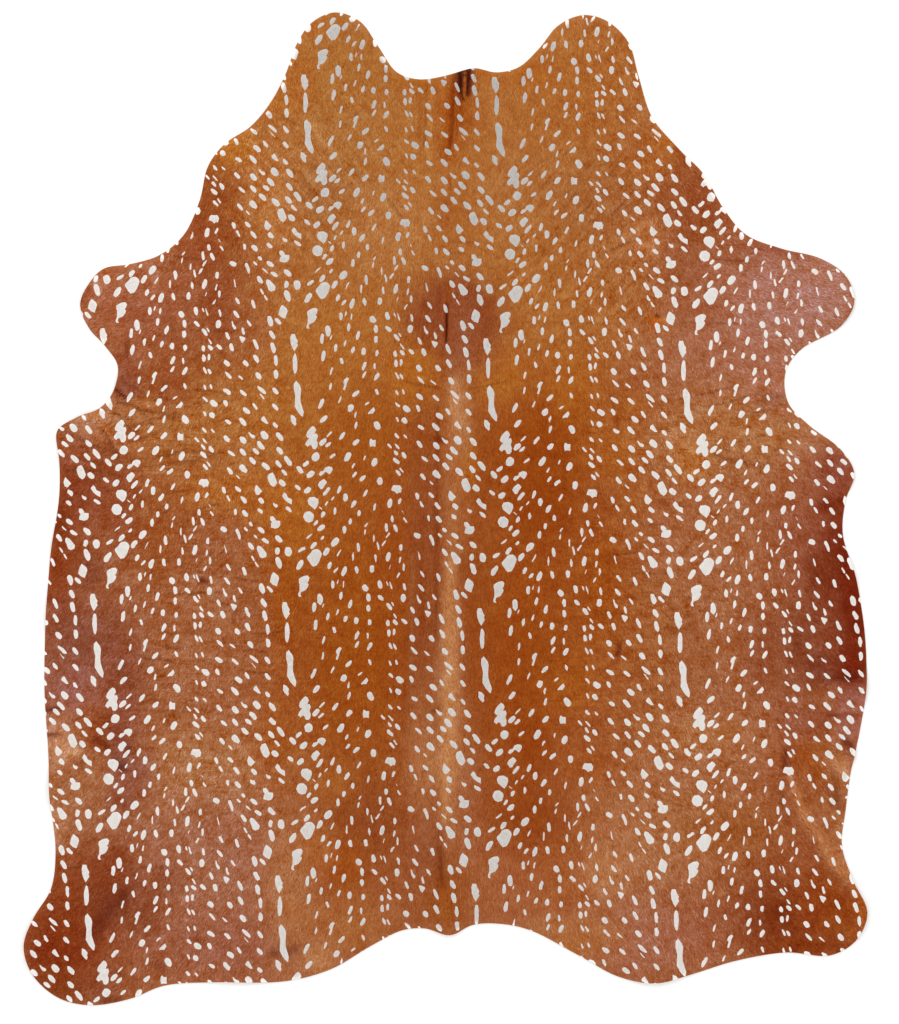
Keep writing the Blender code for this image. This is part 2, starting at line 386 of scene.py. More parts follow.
# Creases of the hair side alone: name, start, end, bow to the left, half width at the start and at
# the end, rise (a negative one is a trough) and how much painted shade darkens the pile in it; a
# negative shade is a painted highlight on a ridge.
creases = [
    ("left shoulder long", (-397, 756), (-241, 591), 6, 6.5, 4.3, -1.8, 0.14),
    ("left shoulder inner", (-315, 738), (-272, 669), -4, 5.4, 4.3, -1.5, 0.16),
    ("left shoulder upper", (-380, 853), (-289, 816), 4, 5.4, 4.3, -1.5, 0.15),
    ("left shoulder middle", (-250, 691), (-176, 604), 6, 5.4, 4.3, -1.3, 0.12),
    ("left neck short", (-218, 747), (-146, 704), -4, 5.4, 4.3, -1.3, 0.12),
    ("left neck slant", (-133, 682), (-90, 624), 2, 4.8, 4.3, -1.8, 0.18),
    ("left shoulder blot", (-298, 756), (-267, 730), 0, 10.8, 8.7, -1.5, 0.14),
    ("left shoulder foot", (-285, 686), (-267, 656), 0, 10.8, 8.7, -1.4, 0.13),
    ("left shoulder outer", (-380, 669), (-315, 621), 4, 5.4, 4.3, -1.3, 0.1),
    ("right neck slant", (176, 522), (248, 602), -4, 5.4, 4.3, -1.7, 0.14),
    ("right shoulder slant", (254, 608), (343, 699), -4, 5.4, 4.3, -1.9, 0.15),
    ("right neck rise", (183, 669), (239, 749), -6, 5.4, 4.8, -1.6, 0.14),
    ("right neck top", (239, 749), (287, 788), 4, 4.8, 3.9, -1.2, 0.1),
    ("right shoulder arm", (328, 615), (417, 704), -6, 5.6, 4.8, -2.0, 0.17),
    ("right shoulder foot", (285, 574), (334, 621), 2, 4.3, 3.9, -1.4, 0.12),
    ("right shoulder short", (360, 632), (412, 665), 2, 4.3, 3.9, -1.3, 0.1),
    ("right shoulder strong", (309, 535), (458, 600), 4, 6.1, 5.2, -2.4, 0.2),
    ("right shoulder high", (274, 738), (469, 779), -6, 5.6, 4.8, -1.7, 0.15),
    ("right shoulder spur", (341, 710), (391, 758), 2, 4.8, 3.9, -1.4, 0.14),
    ("right cheek line", (248, 840), (425, 870), 4, 5.2, 4.3, -1.2, 0.12),
    ("right shoulder blot", (254, 673), (291, 691), 0, 13.0, 10.8, -1.6, 0.15),
    ("left armpit crease", (-713, 262), (-683, 232), 0, 6.5, 7.8, -3.2, 0.55),
    ("left armpit tail", (-683, 232), (-640, 193), 2, 5.6, 3.9, -1.6, 0.18),
    ("left armpit shade", (-709, 279), (-648, 242), 4, 15.2, 13.0, -1.5, 0.16),
    ("left brisket ray 1", (-817, 167), (-713, 123), -4, 7.4, 5.2, -2.2, 0.22),
    ("left brisket ray 2", (-748, 184), (-703, 106), 2, 5.2, 5.6, -2.4, 0.34),
    ("left brisket ray 3", (-835, 117), (-709, 100), -4, 6.5, 5.2, -1.8, 0.15),
    ("left brisket ray 4", (-830, 82), (-687, 65), 9, 6.9, 5.2, -2.2, 0.2),
    ("left brisket ray 5", (-696, 180), (-622, 186), 2, 3.9, 3.5, -1.3, 0.16),
    ("left brisket ray 6", (-692, 141), (-618, 162), 4, 3.9, 3.5, -1.3, 0.14),
    ("left brisket ray 7", (-705, 201), (-657, 158), -4, 3.9, 3.5, -1.4, 0.16),
    ("left foreleg line", (-679, 383), (-681, 305), -9, 6.5, 5.2, -2.0, 0.2),
    ("left chest line", (-596, 294), (-618, 232), -2, 6.9, 5.2, -1.8, 0.22),
    ("left chest fold", (-612, 390), (-397, 390), -4, 5.2, 4.3, -1.6, 0.16),
    ("left elbow line", (-588, 546), (-521, 541), 0, 5.6, 4.8, -1.5, 0.18),
    ("left saddle wrinkle", (-605, 100), (-462, 130), -6, 10.0, 5.6, -2.4, 0.22),
    ("left saddle wrinkle 2", (-521, 76), (-293, 104), -4, 4.8, 3.5, -1.2, 0.08),
    ("left ribs shade", (-672, 30), (-540, 41), 0, 13.0, 10.8, -1.5, 0.12),
    ("right chest fold", (490, 403), (685, 398), 2, 4.1, 3.7, -1.4, 0.15),
    ("right chest fold inner", (118, 405), (421, 401), 0, 3.5, 3.5, -1.0, 0.09),
    ("right elbow line", (577, 541), (674, 539), -2, 6.1, 5.2, -1.6, 0.24),
    ("right saddle wrinkle", (564, 123), (655, 100), -2, 9.1, 7.4, -2.4, 0.25),
    ("right saddle wrinkle 2", (690, 130), (746, 126), 0, 6.1, 4.8, -1.6, 0.18),
    ("right armpit shade", (664, 227), (735, 251), -2, 13.0, 10.8, -2.0, 0.22),
    ("right brisket slit", (707, 197), (767, 178), 2, 7.4, 6.5, -1.7, 0.18),
    ("right brisket drop", (696, 123), (698, 82), 0, 5.2, 3.9, -1.4, 0.2),
    ("left edge tuck", (-869, -435), (-830, -431), 0, 8.7, 6.5, -3.5, 0.45),
    ("left edge slit", (-863, -491), (-835, -485), 2, 6.5, 5.2, -3.2, 0.45),
    ("left pucker rim", (-813, -500), (-783, -509), 0, 7.4, 6.5, -2.6, 0.35),
    ("left pucker arc", (-774, -491), (-726, -522), 9, 9.1, 7.4, -2.8, 0.3),
    ("left pucker foot", (-791, -526), (-791, -569), 6, 8.7, 6.5, -2.0, 0.2),
    ("left pucker wall", (-687, -489), (-707, -561), 11, 10.0, 9.1, -2.2, 0.18),
    ("left groin hollow", (-830, -595), (-800, -582), 6, 8.7, 6.5, -1.8, 0.18),
    ("left hind line", (-843, -777), (-778, -773), 0, 6.5, 5.2, -1.8, 0.2),
    ("left hind line 2", (-696, -777), (-592, -775), 2, 4.8, 3.9, -1.3, 0.1),
    ("left groin fan 1", (-583, -675), (-484, -628), 2, 4.3, 3.5, -1.2, 0.08),
    ("left groin fan 2", (-557, -695), (-445, -643), 2, 4.3, 3.5, -1.2, 0.08),
    ("left rump slant", (-501, -474), (-380, -578), 9, 4.3, 3.9, 1.2, -0.08),
    ("left rump slant 2", (-540, -504), (-462, -543), 2, 4.3, 3.9, -1.2, 0.08),
    ("right edge slit", (811, -444), (897, -446), 0, 5.6, 6.9, -2.8, 0.25),
    ("right edge tuck", (858, -485), (884, -522), 0, 9.5, 8.7, -3.4, 0.4),
    ("right groin wall", (742, -504), (733, -565), -4, 10.0, 9.1, -2.4, 0.25),
    ("right ridge inner 1", (716, -591), (737, -686), 4, 8.7, 8.7, -2.0, 0.18),
    ("right ridge inner 2", (780, -695), (824, -764), 2, 8.7, 10.8, -2.2, 0.2),
    ("right ridge inner 3", (824, -769), (880, -842), 2, 10.8, 7.8, -2.2, 0.22),
    ("right ridge crest", (742, -569), (861, -803), -17, 8.7, 10.8, 3.4, -0.1),
    ("right ridge outer", (828, -552), (841, -656), 11, 7.8, 6.9, -2.6, 0.3),
    ("right groin blot", (819, -526), (837, -535), 0, 6.5, 5.6, -2.0, 0.25),
    ("right hind fan 1", (434, -613), (555, -656), -2, 4.1, 3.5, -1.1, 0.08),
    ("right hind fan 2", (447, -630), (564, -678), -2, 4.1, 3.5, -1.1, 0.08),
    ("right rump line", (248, -857), (360, -847), 2, 6.5, 5.6, -1.5, 0.14),
    ("right rump slant", (304, -556), (430, -474), -6, 6.5, 5.2, -1.4, 0.12),
    ("right ribs line", (412, -28), (469, -41), 0, 4.8, 4.3, -1.5, 0.14),
    ("right ribs slant", (612, -17), (664, -6), -4, 5.6, 4.8, -1.6, 0.16),
    ("right ribs long", (291, -143), (581, -141), 2, 3.9, 3.5, -1.1, 0.08),
    ("right flank long", (334, -197), (638, -193), 6, 3.9, 3.5, -1.2, 0.1),
    ("right flank slant", (499, -245), (586, -206), 2, 4.8, 3.9, -1.3, 0.12),
    ("right flank drop", (557, -310), (599, -427), 4, 6.1, 4.8, -1.5, 0.14),
    ("right flank line", (334, -366), (564, -344), 4, 3.9, 3.5, -1.1, 0.08),
    ("right belly step", (815, -368), (902, -364), 2, 8.7, 9.5, -3.0, 0.4),
    ("right belly pucker", (746, -251), (763, -316), 4, 10.8, 8.7, -1.8, 0.16),
    ("left ribs cut", (-454, -193), (-458, -253), 2, 6.9, 4.8, -2.2, 0.24),
    ("left ribs long 1", (-687, -180), (-397, -175), -4, 4.3, 3.5, -1.2, 0.11),
    ("left ribs long 2", (-579, -123), (-484, -143), -2, 4.1, 3.5, -1.2, 0.1),
    ("left ribs long 3", (-553, -223), (-358, -221), 2, 4.1, 3.5, -1.2, 0.1),
    ("left ribs long 4", (-532, -284), (-393, -286), -4, 4.1, 3.5, -1.2, 0.1),
    ("left ribs slant 1", (-651, -288), (-557, -327), 2, 3.9, 3.5, 1.1, -0.08),
    ("left ribs slant 2", (-657, -301), (-570, -344), 2, 3.9, 3.5, -1.2, 0.09),
    ("left ribs arc", (-547, -22), (-514, 11), 2, 4.3, 3.9, -1.4, 0.14),
    ("left ribs curl", (-501, -100), (-473, -78), -6, 4.8, 4.3, -1.4, 0.13),
    ("left ribs rise", (-467, -67), (-389, -11), -4, 4.1, 3.5, -1.2, 0.1),
    ("left flank low 1", (-683, -383), (-553, -381), 2, 3.9, 3.5, -1.1, 0.08),
    ("left flank low 2", (-640, -435), (-497, -433), -4, 4.1, 3.7, -1.2, 0.09),
    ("left flank low 3", (-540, -327), (-454, -336), 4, 3.9, 3.5, -1.1, 0.08),
    ("left belly seam", (-813, -160), (-752, -171), -4, 7.4, 6.5, -1.6, 0.14),
    ("left belly dip", (-765, -197), (-735, -210), 0, 10.8, 9.5, -2.0, 0.2),
    ("left belly shade", (-709, -197), (-731, -316), 4, 10.8, 9.5, -1.2, 0.08),
    ("withers left line", (-103, 281), (1, 260), -2, 4.1, 4.3, -1.6, 0.22),
    ("withers right line", (140, 279), (40, 260), 2, 4.1, 4.3, -1.6, 0.22),
    ("withers lower line", (-81, 212), (-21, 206), 0, 3.5, 3.5, -1.0, 0.08),
    ("withers parting", (3, 446), (1, 355), 0, 3.9, 3.9, -2.0, 0.5),
    ("neck cross 1", (-5, 580), (79, 578), -2, 4.3, 3.5, -1.2, 0.16),
    ("neck cross 2", (1, 556), (44, 554), 0, 4.3, 3.5, -1.2, 0.16),
    ("neck parting", (16, 905), (8, 773), 6, 5.0, 5.0, -2.0, 0.12),
    ("spine side 1", (-16, 210), (-18, 84), 0, 5.2, 5.6, -1.6, 0.25),
    ("spine side 2", (-18, 84), (-18, -110), 0, 5.6, 5.6, -1.6, 0.16),
    ("spine side 3", (-21, -110), (-18, -305), 0, 5.6, 5.2, -1.4, 0.14),
    ("tail cut", (-34, -439), (-10, -427), -2, 5.6, 5.6, -1.8, 0.38),
    ("tail cut 2", (-55, -572), (-34, -559), -2, 4.8, 4.3, -1.6, 0.25),
    ("tail line", (-10, -727), (-8, -814), 0, 6.5, 5.6, -1.8, 0.28),
    ("left armpit cut", (-720, 266), (-681, 240), -3, 3.2, 2.6, -2.2, 0.5),
    ("left brisket thread 1", (-716, 232), (-629, 208), 3, 3.2, 2.6, -1.4, 0.3),
    ("left brisket thread 2", (-672, 216), (-564, 208), -3, 3.2, 2.6, -1.4, 0.3),
    ("left brisket thread 3", (-657, 191), (-564, 199), 3, 3.0, 2.6, -1.2, 0.26),
    ("left brisket thread 4", (-564, 258), (-462, 247), 4, 3.0, 2.6, -1.2, 0.24),
    ("left brisket thread 5", (-557, 232), (-456, 236), -3, 3.0, 2.6, -1.2, 0.22),
    ("left brisket thread 6", (-640, 234), (-579, 236), 2, 3.0, 2.6, -1.2, 0.24),
    ("left brisket thread 7", (-729, 216), (-666, 191), -3, 3.4, 2.8, -1.4, 0.26),
    ("left ribs band 1", (-635, 108), (-557, 123), 4, 7.0, 5.6, -1.4, 0.2),
    ("left ribs band 2", (-570, 132), (-514, 121), -3, 6.0, 4.4, -1.2, 0.18),
    ("left ribs thread 1", (-527, 2), (-477, 13), 2, 3.2, 2.6, -1.2, 0.26),
    ("left ribs thread 2", (-467, -145), (-397, -156), -3, 3.2, 2.6, -1.2, 0.24),
    ("left ribs thread 3", (-443, -236), (-363, -227), 3, 3.4, 2.8, -1.2, 0.26),
    ("left ribs thread 4", (-425, -268), (-339, -262), -3, 3.4, 2.8, -1.2, 0.26),
    ("left ribs thread 5", (-638, -292), (-549, -301), -4, 3.4, 2.8, -1.4, 0.28),
    ("left ribs thread 6", (-443, -303), (-384, -312), 3, 3.2, 2.6, -1.2, 0.24),
    ("left ribs thread 7", (-666, -325), (-577, -336), 6, 3.4, 2.8, -1.4, 0.24),
    ("left ribs thread 8", (-449, -346), (-350, -355), -4, 3.2, 2.6, -1.2, 0.22),
    ("left ribs thread 9", (-635, -255), (-583, -279), 4, 3.2, 2.6, -1.2, 0.22),
    ("left ribs thread 10", (-514, -199), (-454, -212), 2, 3.2, 2.6, -1.2, 0.22),
    ("right brisket thread 1", (486, 236), (653, 277), -5, 3.2, 2.6, -1.2, 0.2),
    ("right brisket thread 2", (512, 212), (681, 253), -4, 3.2, 2.6, -1.2, 0.2),
    ("right brisket thread 3", (609, 193), (739, 234), -4, 3.2, 2.6, -1.3, 0.24),
    ("right brisket thread 4", (588, 139), (709, 165), -3, 3.2, 2.6, -1.2, 0.22),
    ("right brisket band", (601, 113), (709, 91), -4, 6.0, 5.0, -1.4, 0.2),
    ("right ribs thread 1", (285, 37), (356, 30), 2, 3.2, 2.6, -1.2, 0.24),
    ("right ribs thread 2", (421, 102), (512, 84), 3, 3.2, 2.6, -1.2, 0.2),
    ("right ribs thread 3", (334, -100), (421, -91), -3, 3.2, 2.6, -1.2, 0.22),
    ("right ribs thread 4", (454, -258), (551, -264), 3, 3.2, 2.6, -1.2, 0.22),
    ("right ribs thread 5", (395, -392), (499, -379), -4, 3.2, 2.6, -1.2, 0.22),
]


def strokeShare(points, start, end, bow, halfWidth, endWidth):
    # a soft brush stroke: 1 on its line and 0 from its half width on; gives the points it touches too
    line = foldLine(start, end, bow, 8)
    reach = max(halfWidth, endWidth)
    low, high = line.min(0) - reach, line.max(0) + reach
    near = np.flatnonzero(np.all((points > low) & (points < high), axis=1))
    if not len(near):
        return near, np.zeros(0), np.zeros(0)
    gap, place = nearLine(points[near], line)
    width = halfWidth + (endWidth - halfWidth) * place
    return near, np.cos(np.pi / 2 * np.clip(gap / width, 0, 1)) ** 2, place


# how far the creases reach, and the painted shade in them: threads get more, none gets more than darkest, and
# hue makes it more rust than grey
crease = dict(spread=1.2, threadWidth=5, threadShade=1.9, shade=1.35, darkest=0.8, hue=(0.75, 1.0, 1.15))


def creasesAt(points):
    # the lift of the creases and the painted shade in them
    lift, shade = np.zeros(len(points)), np.zeros(len(points))
    for name, start, end, bow, halfWidth, endWidth, rise, dark in creases:
        widths = halfWidth * crease["spread"], endWidth * crease["spread"]
        near, share, place = strokeShare(points, start, end, bow, *widths)
        share = share * (1 - np.abs(2 * place - 1) ** 3)
        lift[near] += rise * share
        shading = crease["threadShade"] if halfWidth < crease["threadWidth"] else crease["shade"]
        depth = min(crease["darkest"], dark * shading)
        shade[near] = 1 - (1 - shade[near]) * (1 - depth * share)
    return lift, shade


def surfaceAt(points, edgeGap):
    # height of the hair side, rounded off towards the cut edge
    share = np.interp(edgeGap, [0] + [w for w, s in skin["rimRings"]], [0] + [s for w, s in skin["rimRings"]])
    thickness = thicknessAt(points)
    height = liftAt(points) + thickness * share + skin["edgeThickness"] * (1 - share)
    return height + np.maximum(creasesAt(points)[0], -0.6 * thickness) * share


# The print: one repeat, charted from its big blob, across and down the hide.
# Each spot has its centre, its length and width, and its lean, positive where the top leans right.

repeat = dict(across=418, down=582, columns=range(-3, 4), rows=range(-3, 4))

spots = [
    (37, 16.5, 15.5, 7.5, 22), (87, -4.5, 19, 3.5, 2), (135.5, -2, 16.5, 4.5, -5), (162.5, -6, 22, 9, 12),
    (166.5, 16, 10, 1.5, 20), (188.5, 0, 14, 4, 12), (196, 15.5, 16.5, 5, 0), (288.5, 7, 14, 4, -30),
    (345, 15, 26, 11.5, -18), (390.5, 18, 24, 11, 32), (45, 57.5, 17.5, 7.5, 0), (50.5, 27, 14, 5.5, 40),
    (55.5, 51.5, 11, 2.5, 15), (68, 56.5, 13.5, 3.5, 8), (68.5, 28, 22, 10, 18),
    (95.5, 24, 16.5, 7.5, -12), (128.5, 21.5, 16.5, 9, 0), (146, 54, 17.5, 9.5, -12),
    (162, 51.5, 10, 3, -20), (170, 55.5, 17.5, 3, -18), (185.5, 33, 13, 3.5, 30),
    (199, 57, 16.5, 5.5, -12), (234.5, 58.5, 19.5, 6.5, -38), (236.5, 29, 16.5, 5.5, -32),
    (271, 35, 19.5, 7, -20), (297.5, 20.5, 14, 3.5, -32), (18, 90, 24, 11.5, -4), (63, 81, 17.5, 6.5, 8),
    (83.5, 98, 19.5, 7.5, 15), (114.5, 62.5, 15.5, 12, -35), (122, 83, 17.5, 8, -5),
    (149, 82.5, 15.5, 7.5, -45), (174.5, 95, 11, 3, -32), (196.5, 81.5, 17.5, 11, 5),
    (251.5, 95.5, 16.5, 5, -15), (263.5, 78, 15.5, 5, -32), (310, 71.5, 23, 11, -15),
    (327, 72, 17.5, 7.5, -42), (6, 107.5, 22, 8, 5), (25, 104, 10, 2.5, 20), (36, 126.5, 16.5, 6, 10),
    (56, 116.5, 14, 3.5, 18), (74, 130, 14, 6.5, 20), (97, 133, 14.5, 9.5, 3), (122.5, 106, 15.5, 8, 0),
    (126, 136, 13, 7.5, 5), (165.5, 136.5, 13, 7.5, -8), (167.5, 100.5, 17.5, 7.5, -38),
    (180, 120.5, 14, 3.5, -32), (181, 134, 14, 7, -45), (200.5, 131.5, 15.5, 7, -48),
    (217.5, 107, 17.5, 6, -25), (227, 131.5, 17.5, 9, -18), (280, 124, 24, 7, -24),
    (315, 102, 20.5, 9.5, -28), (318, 130, 23, 9.5, -15), (10, 145, 23, 8, 10), (28, 177.5, 17.5, 4, 15),
    (50.5, 155, 14, 6, -15), (99.5, 164.5, 19.5, 7.5, 22), (122.5, 165, 14, 4.5, -3),
    (167.5, 157.5, 15.5, 7.5, -5), (178.5, 155, 14, 6, 5), (218, 167, 15.5, 10.5, -40),
    (259.5, 166, 15.5, 9.5, -40), (282, 155.5, 20.5, 8.5, -28), (325, 158, 23, 7.5, -5),
    (367, 163.5, 44.5, 9.5, 0), (27.5, 211, 16, 4.5, 10), (100, 184, 15.5, 5.5, 30),
    (127, 187, 18.5, 8, 30), (171.5, 184.5, 15.5, 5, -25), (181, 186, 13.5, 4.5, -28),
    (185.5, 219, 12, 4.5, -18), (222.5, 193, 20.5, 5.5, -42), (249.5, 197.5, 15.5, 3.5, -50),
    (288.5, 193, 17.5, 10, -38), (326.5, 188, 19.5, 9, -5), (8.5, 249, 24, 7.5, 25),
    (49, 240, 15.5, 4, 22), (73, 257, 16.5, 12, 30), (83, 226, 18.5, 8, 45), (108, 246.5, 12, 4, 55),
    (128.5, 220.5, 13.5, 5.5, -22), (172, 221.5, 12, 4.5, -20), (174, 247.5, 14, 5, -45),
    (193, 256, 18.5, 12, -55), (218.5, 254.5, 15.5, 7.5, -25), (221, 229, 18.5, 9, -55),
    (256.5, 231, 18.5, 7, -50), (283, 259.5, 16.5, 6.5, -32), (297, 223.5, 25, 7, -48),
    (297.5, 237, 15.5, 2, -40), (326.5, 225, 18.5, 7.5, -35), (15, 282.5, 20.5, 9, 42),
    (84, 271.5, 14, 4, 12), (85.5, 294, 16.5, 5.5, 15), (131.5, 293.5, 20.5, 12.5, -30),
    (174.5, 279.5, 12, 4.5, -22), (190, 281.5, 14, 11, -40), (225.5, 295.5, 15.5, 7, -58),
    (257.5, 294, 22, 9, -42), (265, 270, 18.5, 10, -52), (327.5, 260, 17.5, 7.5, -40),
    (328.5, 298.5, 14, 7, -38), (15, 333, 19.5, 10, 45), (26.5, 338, 15.5, 6, 50),
    (28, 315.5, 16.5, 3.5, 45), (56.5, 318, 19.5, 7, 35), (86.5, 331, 17.5, 9, 45),
    (159, 337, 13.5, 4.5, -42), (174.5, 315, 13, 5.5, -40), (176, 338.5, 15.5, 4, -42),
    (193, 316, 11, 4, -42), (224, 332, 17.5, 8, -40), (259.5, 334, 18.5, 11, -42),
    (305.5, 321.5, 20.5, 13.5, -38), (339, 324, 22, 10, -38), (36.5, 362.5, 15.5, 5.5, 52),
    (69.5, 363.5, 22, 11.5, 30), (106, 364.5, 11, 3.5, 18), (127.5, 373.5, 19.5, 11.5, 25),
    (173.5, 352, 13.5, 5.5, -35), (175, 369.5, 18.5, 8, -48), (191, 356.5, 16, 8, -35),
    (235.5, 363.5, 18.5, 6, -50), (260, 360.5, 19, 8.5, -40), (281.5, 378.5, 19.5, 9, -42),
    (288.5, 358, 17.5, 8, -50), (298, 344.5, 22, 10, -42), (340, 354.5, 18.5, 10, -42),
    (358.5, 376, 25, 10, -36), (418, 365.5, 19.5, 17, 25), (82.5, 382, 13, 4, 28),
    (85.5, 401.5, 14, 5.5, 40), (103, 408.5, 17.5, 7.5, 48), (140.5, 413.5, 16.5, 11.5, 0),
    (179.5, 395.5, 15.5, 6, -40), (187, 389.5, 13, 3.5, -36), (233, 402, 17.5, 7.5, -36),
    (251, 414.5, 12, 3, -45), (311, 389.5, 22, 10.5, -44), (338.5, 383.5, 18.5, 9, -38),
    (351.5, 401.5, 16.5, 6, -42), (385, 394.5, 19.5, 10, -40), (397.5, 381, 16.5, 7.5, 50),
    (408.5, 403.5, 19.5, 12, 50), (26, 439.5, 22, 7.5, 38), (40, 454, 11, 3.5, 38),
    (53.5, 434.5, 18.5, 7, 20), (67, 451, 17.5, 10, 0), (110, 440.5, 16.5, 5, 28),
    (184, 456.5, 14, 5.5, 25), (221.5, 444, 15, 7, -18), (252, 441, 15.5, 7, -45),
    (347.5, 424, 17.5, 11.5, -48), (381.5, 433, 15.5, 7.5, -52), (403, 438, 17.5, 11, 48),
    (14.5, 476.5, 10, 1.5, -50), (20, 489.5, 14, 7.5, 22), (26.5, 465.5, 11, 4, 30),
    (45, 481.5, 15.5, 6, 3), (85, 465, 18.5, 8, 32), (97.5, 484.5, 13, 7, 3), (130.5, 469.5, 15.5, 4, 12),
    (163.5, 461, 20.5, 10, 12), (169, 494.5, 14, 7, -5), (191.5, 479, 9, 1, -35), (197, 496, 13, 4, -34),
    (231.5, 461.5, 15.5, 4.5, -28), (247.5, 490.5, 13, 6, -8), (265.5, 463.5, 18.5, 7.5, -36),
    (269, 493, 17.5, 9.5, -42), (301.5, 486.5, 14, 7.5, -52), (303.5, 464, 15.5, 9, -42),
    (363, 480.5, 17.5, 7, -52), (5, 508.5, 13.5, 6, 36), (16.5, 518.5, 18.5, 10.5, 52),
    (67, 521, 17, 7.5, 3), (79, 502.5, 13.5, 7, 8), (111, 524.5, 12.5, 3.5, 12),
    (113.5, 509.5, 11, 3, 38), (130.5, 537.5, 16.5, 3.5, 0), (157, 513.5, 19, 6, -3),
    (161, 530, 15.5, 3.5, 34), (177, 514.5, 18.5, 7, -25), (223.5, 529, 15.5, 10.5, -60),
    (272, 527, 11, 5, -46), (282, 515.5, 11, 6.5, -44), (304.5, 527.5, 18, 9, -50),
    (409.5, 537.5, 16.5, 3.5, 50), (1.5, 557, 18, 9, 36), (20, 540, 10, 5.5, 42), (29, 569.5, 20, 10, 32),
    (47, 548, 22, 13.5, 40), (56.5, 571, 17.5, 3, 27), (97.5, 558, 20, 7.5, -5), (140, 553.5, 18, 4, -12),
    (152.5, 547.5, 15.5, 4, 36), (189.5, 555.5, 14.5, 7, 0), (229, 572, 19.5, 2.5, -13),
    (283.5, 563, 18.5, 8.5, -35), (293.5, 542, 15.5, 2.5, -46), (314.5, 550.5, 17.5, 7.5, -58),
    (341.5, 572, 15.5, 9, 12), (343.5, 546, 19.5, 10, -46), (365, 572.5, 20.5, 15, -8),
    (394, 567, 18.5, 6.5, 56),
]

